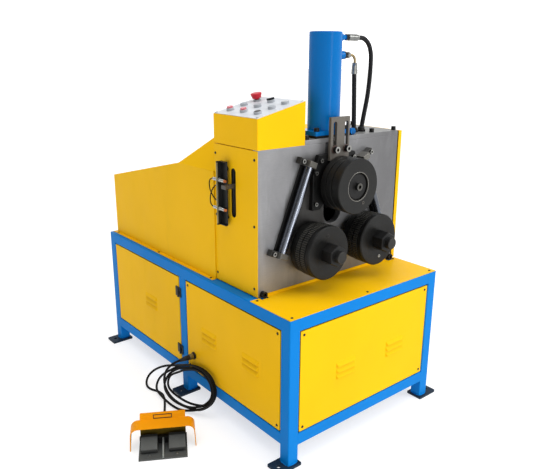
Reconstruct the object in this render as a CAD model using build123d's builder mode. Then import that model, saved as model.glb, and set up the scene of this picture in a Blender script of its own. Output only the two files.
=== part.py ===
from build123d import *
import os
from math import sin, cos, tan, atan2, radians, degrees, pi

os.makedirs("parts", exist_ok=True)

# ----------------------------------------------------------------------------
# Driving dimensions (mm). +Z up, rolls face -Y, origin on the floor at the
# centre of the corner anchor holes.
# ----------------------------------------------------------------------------
BASE_X, BASE_Y = 423.0, 721.0        # half width and half depth of the base frame
TUBE, WALL = 50.0, 3.0               # square tube
FRAME_TOP = 610.0                    # top of the base frame
FOOT_T = 10.0                        # foot plate thickness
RAIL_LOW = 84.0                      # underside of the bottom rails
MID_Y = 10.0                         # centre of the middle posts
HOLE_X, HOLE_Y, HOLE_R = 449.0, 696.0, 9.0   # anchor holes
SHEET = 2.0                          # sheet metal thickness
PANEL_GAP = 5.0                      # gap between a panel and the frame

CX = 7.0                             # centre line of the bending head
PLATE_F = -482.5                     # front face of the front plate
PLATE_T = 30.0
PLATE_X0, PLATE_X1 = -380.0, 396.0
HEAD_TOP = 1182.0                    # underside of the top plate
TOP_T = 18.0
REAR_F, REAR_B = -231.0, -206.0      # rear plate

ROLL_DX, ROLL_Z, ROLL_R = 144.0, 779.0, 108.0    # lower rolls
UP_Z, UP_R = 1023.0, 110.0                        # upper roll, at the top of its travel
ROLL_F, ROLL_B = -616.0, -506.0                   # lower roll faces
UP_F, UP_B = -622.0, -520.0                       # upper roll faces
STROKE = 76.0                                     # upper roll travel
SHAFT_R = 35.0
UP_SHAFT_R = 30.0
RUN = 0.05                                        # running clearance on radius

CYL_Y = -416.0                       # cylinder axis
CYL_R, CYL_BORE, ROD_R = 65.0, 50.0, 30.0
CYL_Z0, CYL_Z1 = 1226.0, 1600.0

MODULE, GEAR_T, PIN_T = 6.0, 28, 20  # drive gears
GEAR_Y0, GEAR_Y1 = -330.0, -290.0

BOX_X0, BOX_X1 = -382.0, -150.5      # control box
BOX_Y0, BOX_Y1 = -482.5, -205.2
BOX_ZL, BOX_ZR = 1293.8, 1347.1

CABLE_D = 10.5                       # foot switch cable
HOSE_D = 19.0


# ----------------------------------------------------------------------------
# Small builders used inside the part blocks
# ----------------------------------------------------------------------------
def blk(x0, x1, y0, y1, z0, z1, mode=Mode.ADD):
    with Locations(((x0 + x1) / 2, (y0 + y1) / 2, (z0 + z1) / 2)):
        Box(x1 - x0, y1 - y0, z1 - z0, mode=mode)


def rod(p, axis, r, length, mode=Mode.ADD):
    with BuildSketch(Plane(origin=p, z_dir=axis)) as sk:
        Circle(r)
    extrude(sk.sketch, amount=length, mode=mode)


def hexrod(p, axis, af, length, mode=Mode.ADD):
    with BuildSketch(Plane(origin=p, z_dir=axis)) as sk:
        RegularPolygon(af / 2, 6, major_radius=False)
    extrude(sk.sketch, amount=length, mode=mode)


def turned(origin, axis, ref, pts, mode=Mode.ADD):
    """Revolve a profile of (radius, height) points about axis."""
    o, a, r = Vector(*origin), Vector(*axis), Vector(*ref)
    with BuildSketch(Plane(origin=o, x_dir=r, z_dir=r.cross(a))) as sk:
        with BuildLine():
            Polyline(*pts, close=True)
        make_face()
    revolve(sk.sketch, axis=Axis(o, a), mode=mode)


def socket_screw(p, axis, r, h):
    """Socket head cap screw head with its hexagon socket."""
    a = Vector(*axis).normalized()
    rod(p, axis, r, h)
    top = Vector(*p) + a * h
    hexrod(tuple(top), tuple(a * -1), r * 0.95, h * 0.6, mode=Mode.SUBTRACT)


def tube_run(p0, p1, up=(0, 0, 1)):
    """Square tube with rounded corners between two points."""
    a, b = Vector(*p0), Vector(*p1)
    d = b - a
    pl = Plane(origin=a, x_dir=Vector(*up).cross(d.normalized()), z_dir=d.normalized())
    with BuildSketch(pl) as sk:
        RectangleRounded(TUBE, TUBE, 4.0)
        RectangleRounded(TUBE - 2 * WALL, TUBE - 2 * WALL, 1.5, mode=Mode.SUBTRACT)
    extrude(sk.sketch, amount=d.length)


def louvres(plane, u, v, count=3, pitch=25.0, length=108.0):
    """Pressed louvres: hoods on the outer face, open below."""
    for i in range(count):
        c = v + (i - (count - 1) / 2) * pitch
        with BuildSketch(plane) as root:
            with Locations((u, c)):
                Rectangle(length, 18.0)
        with BuildSketch(plane.offset(7.0)) as lip:
            with Locations((u, c - 7.2)):
                Rectangle(length - 14.0, 3.6)
        loft([root.sketch.face(), lip.sketch.face()])
        start = plane.from_local_coords((u - (length - 20.0) / 2, 0, 0))
        with BuildSketch(Plane(origin=start, x_dir=plane.y_dir, z_dir=plane.x_dir)) as mouth:
            with BuildLine():
                Polyline((c - 9.5, -4.0), (c - 9.5, 5.5), (c - 6.1, 5.5), (c + 5.3, 0.0), (c + 5.3, -4.0), close=True)
            make_face()
        extrude(mouth.sketch, amount=length - 20.0, mode=Mode.SUBTRACT)


def group(label, *builders):
    """One node made of the separate solids of several blocks."""
    solids = [s for b in builders for s in b.part.solids()]
    c = Compound(children=solids)
    c.label = label
    return c


def route(name, pts, dia):
    """Radii of the tangent arcs of a cable route, as large as its runs allow."""
    v = [Vector(*p) for p in pts]
    radii = []
    for i in range(1, len(v) - 1):
        r0, r1 = v[i] - v[i - 1], v[i + 1] - v[i]
        turn = radians(r0.get_angle(r1))
        radii.append(0.45 * min(r0.length, r1.length) / tan(turn / 2))
    print(name, "smallest radius %.0f mm = %.1f diameters" % (min(radii), min(radii) / dia),
          "radii", [round(r) for r in radii])
    return radii


def cable(pts, radii, dia, mode=Mode.ADD):
    with BuildLine() as path:
        FilletPolyline(*pts, radius=radii)
    with BuildSketch(Plane(origin=path.line @ 0, z_dir=path.line % 0)) as sk:
        Circle(dia / 2)
    sweep(sk.sketch, path=path.line, mode=mode)
    return sum(e.length for e in path.edges())


def gear_points(teeth, module, tooth_at_zero):
    """Outline of a spur gear with thin straight-flanked teeth."""
    rp = module * teeth / 2
    rt, rr = rp + module, rp - 1.25 * module
    half = {rr: 0.250, rp: 0.185, rt: 0.105}      # half tooth, in pitches
    pts = []
    step = 2 * pi / teeth
    for k in range(teeth):
        c = (k + (0.0 if tooth_at_zero else 0.5)) * step
        for r, s in ((rr, -1), (rp, -1), (rt, -1), (rt, 1), (rp, 1), (rr, 1)):
            a = c + s * half[r] * step * rp / r
            pts.append((r * cos(a), r * sin(a)))
    return pts


# ----------------------------------------------------------------------------
# Base frame: welded square tube, foot plates, panel lugs
# ----------------------------------------------------------------------------
LX, LY = BASE_X - TUBE / 2, BASE_Y - TUBE / 2     # leg centres
INX, INY = BASE_X - TUBE, BASE_Y - TUBE           # inner faces of the legs
MID0, MID1 = MID_Y - TUBE / 2, MID_Y + TUBE / 2
RAIL_TOP = RAIL_LOW + TUBE
TOP_LOW = FRAME_TOP - TUBE

with BuildPart() as frame_legs:
    for sx in (-1, 1):
        for sy in (-1, 1):
            tube_run((sx * LX, sy * LY, FOOT_T), (sx * LX, sy * LY, FRAME_TOP - 3), up=(0, 1, 0))
            with BuildSketch(Plane.XY.offset(FRAME_TOP - 3)):
                with Locations((sx * LX, sy * LY)):
                    RectangleRounded(TUBE, TUBE, 4.0)
            extrude(amount=3)
        tube_run((sx * LX, MID_Y, FOOT_T), (sx * LX, MID_Y, TOP_LOW), up=(0, 1, 0))

with BuildPart() as frame_rails:
    for z in (RAIL_LOW + TUBE / 2, FRAME_TOP - TUBE / 2):
        for sy in (-1, 1):
            tube_run((-INX, sy * LY, z), (INX, sy * LY, z))
    for sx in (-1, 1):
        tube_run((sx * LX, -INY, FRAME_TOP - TUBE / 2), (sx * LX, INY, FRAME_TOP - TUBE / 2))
        tube_run((sx * LX, -INY, RAIL_LOW + TUBE / 2), (sx * LX, MID0, RAIL_LOW + TUBE / 2))
        tube_run((sx * LX, MID1, RAIL_LOW + TUBE / 2), (sx * LX, INY, RAIL_LOW + TUBE / 2))

with BuildPart() as frame_cross:
    for y in (-457.5, -218.5, 170.0):
        tube_run((-INX, y, FRAME_TOP - TUBE / 2), (INX, y, FRAME_TOP - TUBE / 2))
    for y in (-455.0, -225.0, 355.0):
        tube_run((-INX, y, RAIL_LOW + TUBE / 2), (INX, y, RAIL_LOW + TUBE / 2))

with BuildPart() as frame_feet:
    for sx in (-1, 1):
        for y in (-HOLE_Y, MID_Y, HOLE_Y):
            with BuildSketch(Plane.XY):
                with Locations((sx * 420.0, y)):
                    RectangleRounded(110, 76, 4)
                with Locations((sx * HOLE_X, y)):
                    Circle(HOLE_R, mode=Mode.SUBTRACT)
            extrude(amount=FOOT_T)

LUG, LUG_T = 32.0, 6.0
with BuildPart() as frame_lugs:
    for z0, z1 in ((RAIL_TOP, RAIL_TOP + LUG), (TOP_LOW - LUG, TOP_LOW)):
        for sx in (-1, 1):
            x0, x1 = sorted((sx * INX, sx * (INX - LUG)))
            blk(x0, x1, -BASE_Y + 17, -BASE_Y + 17 + LUG_T, z0, z1)
            blk(x0, x1, BASE_Y - 17 - LUG_T, BASE_Y - 17, z0, z1)
            xa, xb = sorted((sx * (BASE_X - 17), sx * (BASE_X - 17 - LUG_T)))
            for y0, y1 in ((-INY, -INY + LUG), (MID0 - LUG, MID0), (MID1, MID1 + LUG), (INY - LUG, INY)):
                blk(xa, xb, y0, y1, z0, z1)

base_frame = group("base_frame", frame_legs, frame_rails, frame_cross, frame_feet, frame_lugs)
export_step(base_frame, "parts/base_frame.step")

# ----------------------------------------------------------------------------
# Panels of the base: folded trays with pressed louvres
# ----------------------------------------------------------------------------
PZ0, PZ1 = RAIL_TOP + PANEL_GAP, TOP_LOW - PANEL_GAP
REC, DEEP = 2.0, 15.0                              # recess, depth of the fold
PX = INX - PANEL_GAP

FRONT_PL = Plane(origin=(0, -BASE_Y + REC, 0), x_dir=(1, 0, 0), z_dir=(0, -1, 0))
BACK_PL = Plane(origin=(0, BASE_Y - REC, 0), x_dir=(-1, 0, 0), z_dir=(0, 1, 0))
LEFT_PL = Plane(origin=(-BASE_X + REC, 0, 0), x_dir=(0, -1, 0), z_dir=(-1, 0, 0))
RIGHT_PL = Plane(origin=(BASE_X - REC, 0, 0), x_dir=(0, 1, 0), z_dir=(1, 0, 0))


def tray(plane, u0, u1, v0, v1, depth=DEEP):
    """Sheet metal tray: outer face on the plane, folded edges behind it."""
    with BuildSketch(plane.offset(-depth)) as outer:
        with Locations(((u0 + u1) / 2, (v0 + v1) / 2)):
            RectangleRounded(u1 - u0, v1 - v0, 3)
    extrude(outer.sketch, amount=depth)
    with BuildSketch(plane.offset(-depth - 1)) as inner:
        with Locations(((u0 + u1) / 2, (v0 + v1) / 2)):
            Rectangle(u1 - u0 - 2 * SHEET, v1 - v0 - 2 * SHEET)
    extrude(inner.sketch, amount=depth + 1 - SHEET, mode=Mode.SUBTRACT)


with BuildPart() as front_panel:
    tray(FRONT_PL, -PX, PX, PZ0, PZ1)
    louvres(FRONT_PL, -124.5, 331)
    louvres(FRONT_PL, 168.0, 331)
front_panel.part.label = "front_panel"
export_step(front_panel.part, "parts/front_panel.step")

SOCKET_Y, SOCKET_Z = -70.0, 212.0
LF0, LF1 = -INY + PANEL_GAP, MID0 - PANEL_GAP      # left front panel, along Y
with BuildPart() as left_front_panel:
    tray(LEFT_PL, -LF1, -LF0, PZ0, PZ1)
    louvres(LEFT_PL, 192.0, 344)
    louvres(LEFT_PL, 483.0, 344)
    rod((-BASE_X - 5, SOCKET_Y, SOCKET_Z), (1, 0, 0), 10.0, 30, mode=Mode.SUBTRACT)
left_front_panel.part.label = "left_front_panel"
export_step(left_front_panel.part, "parts/left_front_panel.step")

RR0, RR1 = MID1 + PANEL_GAP, INY - PANEL_GAP
with BuildPart() as plain_panels:
    tray(RIGHT_PL, LF0, LF1, PZ0, PZ1)
    louvres(RIGHT_PL, -192.0, 344)
    louvres(RIGHT_PL, -483.0, 344)
    tray(RIGHT_PL, RR0, RR1, PZ0, PZ1)
    louvres(RIGHT_PL, 308.0, 344)
    tray(BACK_PL, -PX, PX, PZ0, PZ1)
    louvres(BACK_PL, -146.0, 331)
    louvres(BACK_PL, 146.0, 331)
plain_panels.part.label = "plain_panels"
export_step(plain_panels.part, "parts/plain_panels.step")

DOOR_Y0, DOOR_Y1 = MID1 + 6, INY - 4
with BuildPart() as base_door:
    tray(LEFT_PL, -DOOR_Y1, -DOOR_Y0, PZ0, PZ1)
    louvres(LEFT_PL, -308.0, 352)
base_door.part.label = "base_door"
export_step(base_door.part, "parts/base_door.step")

# Two butt hinges: leaves on the post and on the door, knuckles on one pin
PIN_X, PIN_Y, PIN_R, KN_R = -BASE_X - 4.5, 38.0, 3.0, 5.6
HINGE_Z = (181.0, 464.0)
HINGE_H = 44.0
with BuildPart() as hinge_frame_leaves:
    for z in HINGE_Z:
        for z0, z1 in ((z, z + 13), (z + 31, z + HINGE_H)):
            rod((PIN_X, PIN_Y, z0), (0, 0, 1), KN_R, z1 - z0)
            blk(-BASE_X - 4.5, -BASE_X - 1.5, PIN_Y - 20, PIN_Y, z0, z1)
        blk(-BASE_X - 3.0, -BASE_X, PIN_Y - 20, PIN_Y - 7, z, z + HINGE_H)
        for z0, z1 in ((z, z + 13), (z + 31, z + HINGE_H)):
            blk(-BASE_X - 3.0, -BASE_X, PIN_Y - 8, PIN_Y - 4, z0, z1)
        rod((PIN_X, PIN_Y, z), (0, 0, 1), PIN_R, HINGE_H)
hinge_frame_leaves.part.label = "hinge_frame_leaves"
export_step(hinge_frame_leaves.part, "parts/hinge_frame_leaves.step")

with BuildPart() as hinge_door_leaves:
    for z in HINGE_Z:
        rod((PIN_X, PIN_Y, z + 13.4), (0, 0, 1), KN_R, 17.2)
        blk(-BASE_X - 2.0, -BASE_X + REC, PIN_Y + 4, PIN_Y + 27, z, z + HINGE_H)
        blk(-BASE_X - 4.0, -BASE_X - 1.0, PIN_Y, PIN_Y + 8, z + 13.4, z + 30.6)
        rod((PIN_X, PIN_Y, z), (0, 0, 1), PIN_R + RUN, HINGE_H, mode=Mode.SUBTRACT)
        rod((PIN_X, PIN_Y, z - 1), (0, 0, 1), KN_R + 0.4, 14.2, mode=Mode.SUBTRACT)
        rod((PIN_X, PIN_Y, z + 30.8), (0, 0, 1), KN_R + 0.4, 14.2, mode=Mode.SUBTRACT)
hinge_door_leaves.part.label = "hinge_door_leaves"
export_step(hinge_door_leaves.part, "parts/hinge_door_leaves.step")

# ----------------------------------------------------------------------------
# Top sheet with an upturned lip in front of the front plate
# ----------------------------------------------------------------------------
BOLT_XL, BOLT_XR, BOLT_Z = -358.0, 380.0, 625.0
with BuildPart() as top_sheet:
    with BuildSketch(Plane.XY.offset(FRAME_TOP)):
        with Locations((0, (-BASE_Y + 2 + PLATE_F - 1) / 2)):
            RectangleRounded(2 * BASE_X - 5, PLATE_F - 1 + BASE_Y - 2, 3)
    extrude(amount=SHEET)
    blk(BOLT_XL + 20, BOLT_XR - 20, PLATE_F - 3, PLATE_F - 1, FRAME_TOP, FRAME_TOP + 13)
    blk(BOLT_XL - 18, BOLT_XL + 18, PLATE_F - 20, PLATE_F, FRAME_TOP - 1, FRAME_TOP + 5, mode=Mode.SUBTRACT)
    blk(BOLT_XR - 18, BOLT_XR + 18, PLATE_F - 20, PLATE_F, FRAME_TOP - 1, FRAME_TOP + 5, mode=Mode.SUBTRACT)
top_sheet.part.label = "top_sheet"
export_step(top_sheet.part, "parts/top_sheet.step")

# ----------------------------------------------------------------------------
# Bending head: plates
# ----------------------------------------------------------------------------
SLOT_W = 100.0
BEAR_R, BEAR_FL = 55.0, 64.0
with BuildPart() as front_plate:
    blk(PLATE_X0, PLATE_X1, PLATE_F, PLATE_F + PLATE_T, FRAME_TOP, HEAD_TOP)
    chamfer(front_plate.edges().filter_by(GeomType.LINE).filter_by_position(Axis.Y, PLATE_F - 0.1, PLATE_F + 0.1), 1.0)
    blk(CX - SLOT_W / 2, CX + SLOT_W / 2, PLATE_F - 1, PLATE_F + PLATE_T + 1, 898, HEAD_TOP + 1, mode=Mode.SUBTRACT)
    rod((CX, PLATE_F - 1, 898), (0, 1, 0), SLOT_W / 2, PLATE_T + 2, mode=Mode.SUBTRACT)
    for s in (-1, 1):
        rod((CX + s * ROLL_DX, PLATE_F - 1, ROLL_Z), (0, 1, 0), BEAR_R, PLATE_T + 2, mode=Mode.SUBTRACT)
front_plate.part.label = "front_plate"
export_step(front_plate.part, "parts/front_plate.step")

with BuildPart() as rear_plate:
    blk(-368, 382, REAR_F, REAR_B, FRAME_TOP, HEAD_TOP)
    for s in (-1, 1):
        rod((CX + s * ROLL_DX, REAR_F - 1, ROLL_Z), (0, 1, 0), 50.0, 27, mode=Mode.SUBTRACT)
    rod((CX, REAR_F - 1, ROLL_Z), (0, 1, 0), 32.0, 27, mode=Mode.SUBTRACT)
rear_plate.part.label = "rear_plate"
export_step(rear_plate.part, "parts/rear_plate.step")

# Side plates and the two guide bars of the slide behind the front plate
SLIDE_X0, SLIDE_X1 = CX - 70, CX + 70
ARM_Y0, ARM_Y1 = -341.0, -325.0
with BuildPart() as side_plates:
    blk(-368, -353, PLATE_F + PLATE_T, REAR_F, FRAME_TOP, HEAD_TOP)
    blk(-369, -352, ARM_Y0 - 8, ARM_Y1 + 10, 900, 1098, mode=Mode.SUBTRACT)
    blk(367, 382, PLATE_F + PLATE_T, REAR_F, FRAME_TOP, HEAD_TOP)
    blk(SLIDE_X0 - 25, SLIDE_X0 - RUN, PLATE_F + PLATE_T, -365, 880, HEAD_TOP)
    blk(SLIDE_X1 + RUN, SLIDE_X1 + 25, PLATE_F + PLATE_T, -365, 880, HEAD_TOP)
side_plates.part.label = "side_plates"
export_step(side_plates.part, "parts/side_plates.step")

HOSE_A = (235.0, -413.0)              # where the hoses go through the top plate
HOSE_B = (190.0, -413.0)
with BuildPart() as top_plate:
    blk(BOX_X1, PLATE_X1, PLATE_F, REAR_B, HEAD_TOP, HEAD_TOP + TOP_T)
    chamfer(top_plate.edges().filter_by(GeomType.LINE).filter_by_position(Axis.Y, PLATE_F - 0.1, PLATE_F + 0.1), 1.0)
    rod((CX, CYL_Y, HEAD_TOP - 1), (0, 0, 1), 32.0, 30, mode=Mode.SUBTRACT)
top_plate.part.label = "top_plate"
export_step(top_plate.part, "parts/top_plate.step")
DECK = HEAD_TOP + TOP_T

# Black cap screws of the plates and of the cylinder flange
FL_X0, FL_X1, FL_Y0, FL_Y1 = CX - 95, CX + 95, -476.0, -356.0
FL_Z0, FL_Z1 = 1210.0, 1226.0
with BuildPart() as plate_bolts:
    for x in (BOLT_XL, BOLT_XR):
        socket_screw((x, PLATE_F, BOLT_Z), (0, -1, 0), 13.0, 17.0)
    for x, y in ((252.0, -458.0), (384.0, -466.0), (384.0, -222.0), (252.0, -222.0), (-130.0, -222.0), (-130.0, -466.0)):
        socket_screw((x, y, DECK), (0, 0, 1), 10.0, 16.0)
    for x in (FL_X0 + 16, FL_X1 - 16):
        for y in (FL_Y0 + 15, FL_Y1 - 15):
            socket_screw((x, y, FL_Z1), (0, 0, 1), 11.0, 14.0)
plate_bolts.part.label = "plate_bolts"
export_step(plate_bolts.part, "parts/plate_bolts.step")

# ----------------------------------------------------------------------------
# Sheet metal covers of the head
# ----------------------------------------------------------------------------
with BuildPart() as left_cover:
    blk(PLATE_X0 - SHEET, PLATE_X0, PLATE_F, -205.3, 614, 1179)
    blk(PLATE_X0 - SHEET, -368, -207.3, -205.3, 614, 1179)
    blk(PLATE_X0 - SHEET, -368, PLATE_F + PLATE_T + 1, -205.3, 1177, 1179)
    blk(PLATE_X0 - SHEET, -368, PLATE_F + PLATE_T + 1, -205.3, 614, 616)
    with BuildSketch(Plane(origin=(PLATE_X0 + 1, 0, 0), x_dir=(0, 1, 0), z_dir=(-1, 0, 0))):
        with Locations(((-332.75), -1000.25)):
            SlotOverall(194, 31, rotation=90)
    extrude(amount=6, mode=Mode.SUBTRACT)
RC_X = 422.0
with BuildPart() as right_cover:
    blk(403, RC_X, PLATE_F, -205.3, 614, 1197)
    blk(402, RC_X - SHEET, PLATE_F + SHEET, -205.3 - SHEET, 614 + SHEET, 1197 - SHEET, mode=Mode.SUBTRACT)
    for y in (-420.0, -265.0):
        for z in (700.0, 1100.0):
            rod((382, y, z), (1, 0, 0), 9.0, RC_X - SHEET - 382)
side_covers = group("side_covers", left_cover, right_cover)
export_step(side_covers, "parts/side_covers.step")

# Rear cover: one folded hood, a hipped crown behind the head, then a slope to the back
HOOD_X0, HOOD_X1 = -387.0, 387.5
HOOD_Y0, HOOD_KNEE, HOOD_Y1 = -205.0, 57.0, 708.0
HOOD_TOP, HOOD_BACK = 1066.0, 913.0
CROWN = 134.0                         # rise of the crown, at 45 degrees
FOLD = 0.83                           # offset of a 45 degree sheet fold, beyond the sheet


def hood_prism(x0, x1, pts, mode=Mode.ADD):
    """Side profile of (Y, Z) points, extruded across the hood."""
    with BuildSketch(Plane.YZ.offset(x0)) as sk:
        with BuildLine():
            Polyline(*pts, close=True)
        make_face()
    extrude(sk.sketch, amount=x1 - x0, mode=mode)


def hood_hips(x0, x1, z):
    """Cut the two sides of the crown to 45 degrees, from height z up."""
    for x, s in ((x0, 1), (x1, -1)):
        with BuildSketch(Plane.XZ.offset(-HOOD_Y0 + 2)) as sk:
            with BuildLine():
                Polyline((x - s, z), (x, z), (x + s * (CROWN + 2), z + CROWN + 2), (x - s, z + CROWN + 2), close=True)
            make_face()
        extrude(sk.sketch, amount=-(HOOD_KNEE - HOOD_Y0 + 4), mode=Mode.SUBTRACT)


with BuildPart() as hood_hollow:
    hood_prism(HOOD_X0 + SHEET, HOOD_X1 - SHEET,
               [(HOOD_Y0 - 1, FRAME_TOP - 1), (HOOD_Y0 - 1, HOOD_TOP + CROWN - SHEET), (HOOD_KNEE - CROWN - FOLD, HOOD_TOP + CROWN - SHEET),
                (HOOD_KNEE - FOLD - 0.9, HOOD_TOP - SHEET + 0.07), (HOOD_Y1 - SHEET, HOOD_BACK - SHEET + 0.5),
                (HOOD_Y1 - SHEET, FRAME_TOP - 1)])
    hood_hips(HOOD_X0 + SHEET, HOOD_X1 - SHEET, HOOD_TOP - FOLD)
with BuildPart() as rear_cover:
    hood_prism(HOOD_X0, HOOD_X1,
               [(HOOD_Y0, FRAME_TOP), (HOOD_Y0, HOOD_TOP), (HOOD_KNEE, HOOD_TOP), (HOOD_Y1, HOOD_BACK), (HOOD_Y1, FRAME_TOP)])
    folds = rear_cover.edges().filter_by(lambda e: e.center().Z > FRAME_TOP + 50 and e.center().Y > HOOD_Y1 - 5)
    fillet(folds, 4.0)
    hood_prism(HOOD_X0, HOOD_X1,
               [(HOOD_Y0, HOOD_TOP - 5), (HOOD_Y0, HOOD_TOP + CROWN), (HOOD_KNEE - CROWN, HOOD_TOP + CROWN),
                (HOOD_KNEE, HOOD_TOP), (HOOD_KNEE, HOOD_TOP - 5)])
    hood_hips(HOOD_X0, HOOD_X1, HOOD_TOP)
    add(hood_hollow.part, mode=Mode.SUBTRACT)
    blk(HOOD_X0 - 18, HOOD_X0 + SHEET, HOOD_Y0, HOOD_Y1 + 10, FRAME_TOP, FRAME_TOP + SHEET)
    blk(HOOD_X1 - SHEET, HOOD_X1 + 18, HOOD_Y0, HOOD_Y1 + 10, FRAME_TOP, FRAME_TOP + SHEET)
    blk(HOOD_X0, HOOD_X1, HOOD_Y1 - SHEET, HOOD_Y1 + 10, FRAME_TOP, FRAME_TOP + SHEET)
rear_cover.part.label = "rear_cover"
export_step(rear_cover.part, "parts/rear_cover.step")

# ----------------------------------------------------------------------------
# Control box with its sloping panel
# ----------------------------------------------------------------------------
SLOPE = atan2(BOX_ZR - BOX_ZL, BOX_X1 - BOX_X0)
PA, PB = (BOX_X1 - BOX_X0) / cos(SLOPE), BOX_Y1 - BOX_Y0
P_X, P_N = (cos(SLOPE), 0, sin(SLOPE)), (-sin(SLOPE), 0, cos(SLOPE))
PANEL = Plane(origin=(BOX_X0, BOX_Y0, BOX_ZL), x_dir=P_X, z_dir=P_N)


def on_panel(a, b, n=0.0):
    return tuple(PANEL.from_local_coords((a, b, n)))


with BuildPart() as control_box:
    with BuildSketch(Plane.XZ.offset(-BOX_Y0)):
        with BuildLine():
            Polyline((BOX_X0, HEAD_TOP), (BOX_X0, BOX_ZL), (BOX_X1, BOX_ZR), (BOX_X1, HEAD_TOP), close=True)
        make_face()
    extrude(amount=-PB)
    fillet(control_box.edges().filter_by(Axis.Z), 2.5)
    with BuildSketch(Plane.XZ.offset(-BOX_Y0 - SHEET)):
        with BuildLine():
            Polyline((BOX_X0 + SHEET, HEAD_TOP + SHEET), (BOX_X0 + SHEET, BOX_ZL - SHEET + 0.4),
                     (BOX_X1 - SHEET, BOX_ZR - SHEET - 0.4), (BOX_X1 - SHEET, HEAD_TOP + SHEET), close=True)
        make_face()
    extrude(amount=-(PB - 2 * SHEET), mode=Mode.SUBTRACT)
    with BuildSketch(PANEL.offset(-6)):
        with Locations((PA / 2, PB / 2)):
            Rectangle(PA - 36, PB - 36)
    extrude(amount=12, mode=Mode.SUBTRACT)
control_box.part.label = "control_box"
export_step(control_box.part, "parts/control_box.step")

A_ROW = [PA * f for f in (0.205, 0.49, 0.77)]
B_ROW = [PB * f for f in (0.205, 0.51, 0.82)]
with BuildPart() as control_panel:
    with BuildSketch(PANEL):
        with Locations((PA / 2, PB / 2)):
            RectangleRounded(PA - 5, PB - 5, 3)
        for a in A_ROW:
            for b in B_ROW:
                with Locations((a, b)):
                    Circle(11.1, mode=Mode.SUBTRACT)
    extrude(amount=2.0)
control_panel.part.label = "control_panel"
export_step(control_panel.part, "parts/control_panel.step")

COLLAR = [(0, -38), (11, -38), (11, 2), (15, 2), (15, 11.2), (14.2, 12), (12.1, 12), (12.1, 2.4), (7.05, 2.4), (7.05, -10), (0, -10)]
LOW_COLLAR = [(0, -38), (11, -38), (11, 2), (15, 2), (15, 7.2), (14.2, 8), (12.1, 8), (12.1, 2.4), (7.05, 2.4), (7.05, -10), (0, -10)]
FLUSH = [(0, -4), (7, -4), (7, 5.6), (12, 5.6), (12, 12.4), (11.4, 13), (0, 13)]
RAISED = [(0, -4), (7, -4), (7, 5.6), (12, 5.6), (12, 17.6), (11, 18.6), (0, 18.6)]
TURN_KNOB = [(0, -4), (7, -4), (7, 3), (12, 3), (12, 12.6), (0, 12.6)]
MUSHROOM = [(0, -4), (7, -4), (7, 13.6), (17.4, 13.6), (18.2, 15), (20, 22), (21.6, 26.5), (22.3, 29), (22, 31.5), (20.6, 33),
            (16, 34.1), (8, 34.7), (0, 35)]

with BuildPart() as button_collars:
    for a in A_ROW:
        for b in B_ROW:
            turned(on_panel(a, b), P_N, P_X, LOW_COLLAR if (a, b) == (A_ROW[2], B_ROW[2]) else COLLAR)
button_collars.part.label = "button_collars"
export_step(button_collars.part, "parts/button_collars.step")

with BuildPart() as dark_button:
    turned(on_panel(A_ROW[0], B_ROW[0]), P_N, P_X, FLUSH)
dark_button.part.label = "dark_button"
export_step(dark_button.part, "parts/dark_button.step")

with BuildPart() as red_button_middle:
    turned(on_panel(A_ROW[0], B_ROW[1]), P_N, P_X, RAISED)
red_button_middle.part.label = "red_button_middle"
export_step(red_button_middle.part, "parts/red_button_middle.step")

with BuildPart() as red_button_rear:
    turned(on_panel(A_ROW[0], B_ROW[2]), P_N, P_X, RAISED)
red_button_rear.part.label = "red_button_rear"
export_step(red_button_rear.part, "parts/red_button_rear.step")

with BuildPart() as grey_button_front:
    turned(on_panel(A_ROW[1], B_ROW[0]), P_N, P_X, FLUSH)
grey_button_front.part.label = "grey_button_front"
export_step(grey_button_front.part, "parts/grey_button_front.step")

with BuildPart() as grey_button_middle:
    turned(on_panel(A_ROW[1], B_ROW[1]), P_N, P_X, FLUSH)
grey_button_middle.part.label = "grey_button_middle"
export_step(grey_button_middle.part, "parts/grey_button_middle.step")

with BuildPart() as grey_button_rear:
    turned(on_panel(A_ROW[1], B_ROW[2]), P_N, P_X, FLUSH)
grey_button_rear.part.label = "grey_button_rear"
export_step(grey_button_rear.part, "parts/grey_button_rear.step")

with BuildPart() as white_button:
    turned(on_panel(A_ROW[2], B_ROW[0]), P_N, P_X, FLUSH)
white_button.part.label = "white_button"
export_step(white_button.part, "parts/white_button.step")

with BuildPart() as selector_knob:
    turned(on_panel(A_ROW[2], B_ROW[1]), P_N, P_X, TURN_KNOB)
    with BuildSketch(PANEL.offset(12.6)):
        with Locations((A_ROW[2], B_ROW[1])):
            SlotOverall(32, 10, rotation=-20)
    extrude(amount=6)
selector_knob.part.label = "selector_knob"
export_step(selector_knob.part, "parts/selector_knob.step")

with BuildPart() as stop_mushroom:
    turned(on_panel(A_ROW[2], B_ROW[2]), P_N, P_X, MUSHROOM)
stop_mushroom.part.label = "stop_mushroom"
export_step(stop_mushroom.part, "parts/stop_mushroom.step")

# ----------------------------------------------------------------------------
# Inclined guide rods on backing strips, their blocks and brackets, gib plates on the front plate
# ----------------------------------------------------------------------------
TILT = radians(22.5)
RAIL_PL = Plane(origin=(-276.5, PLATE_F, 964.0), x_dir=(cos(TILT), 0, -sin(TILT)), z_dir=(0, -1, 0))
MID_PL = Plane(origin=(CX, 0, 0), z_dir=(1, 0, 0))
ROD_U, ROD_W, GUIDE_R = 67.0, 22.0, 17.5
V_LOW, V_HIGH = -170.0, 175.0
STRIP_W, STRIP_T = 46.0, 4.0
BLOCK_W, BLOCK_L, BLOCK_T = 40.0, 24.0, 44.0
BRACKET_U, BRACKET_T = 13.0, 26.0

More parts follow.
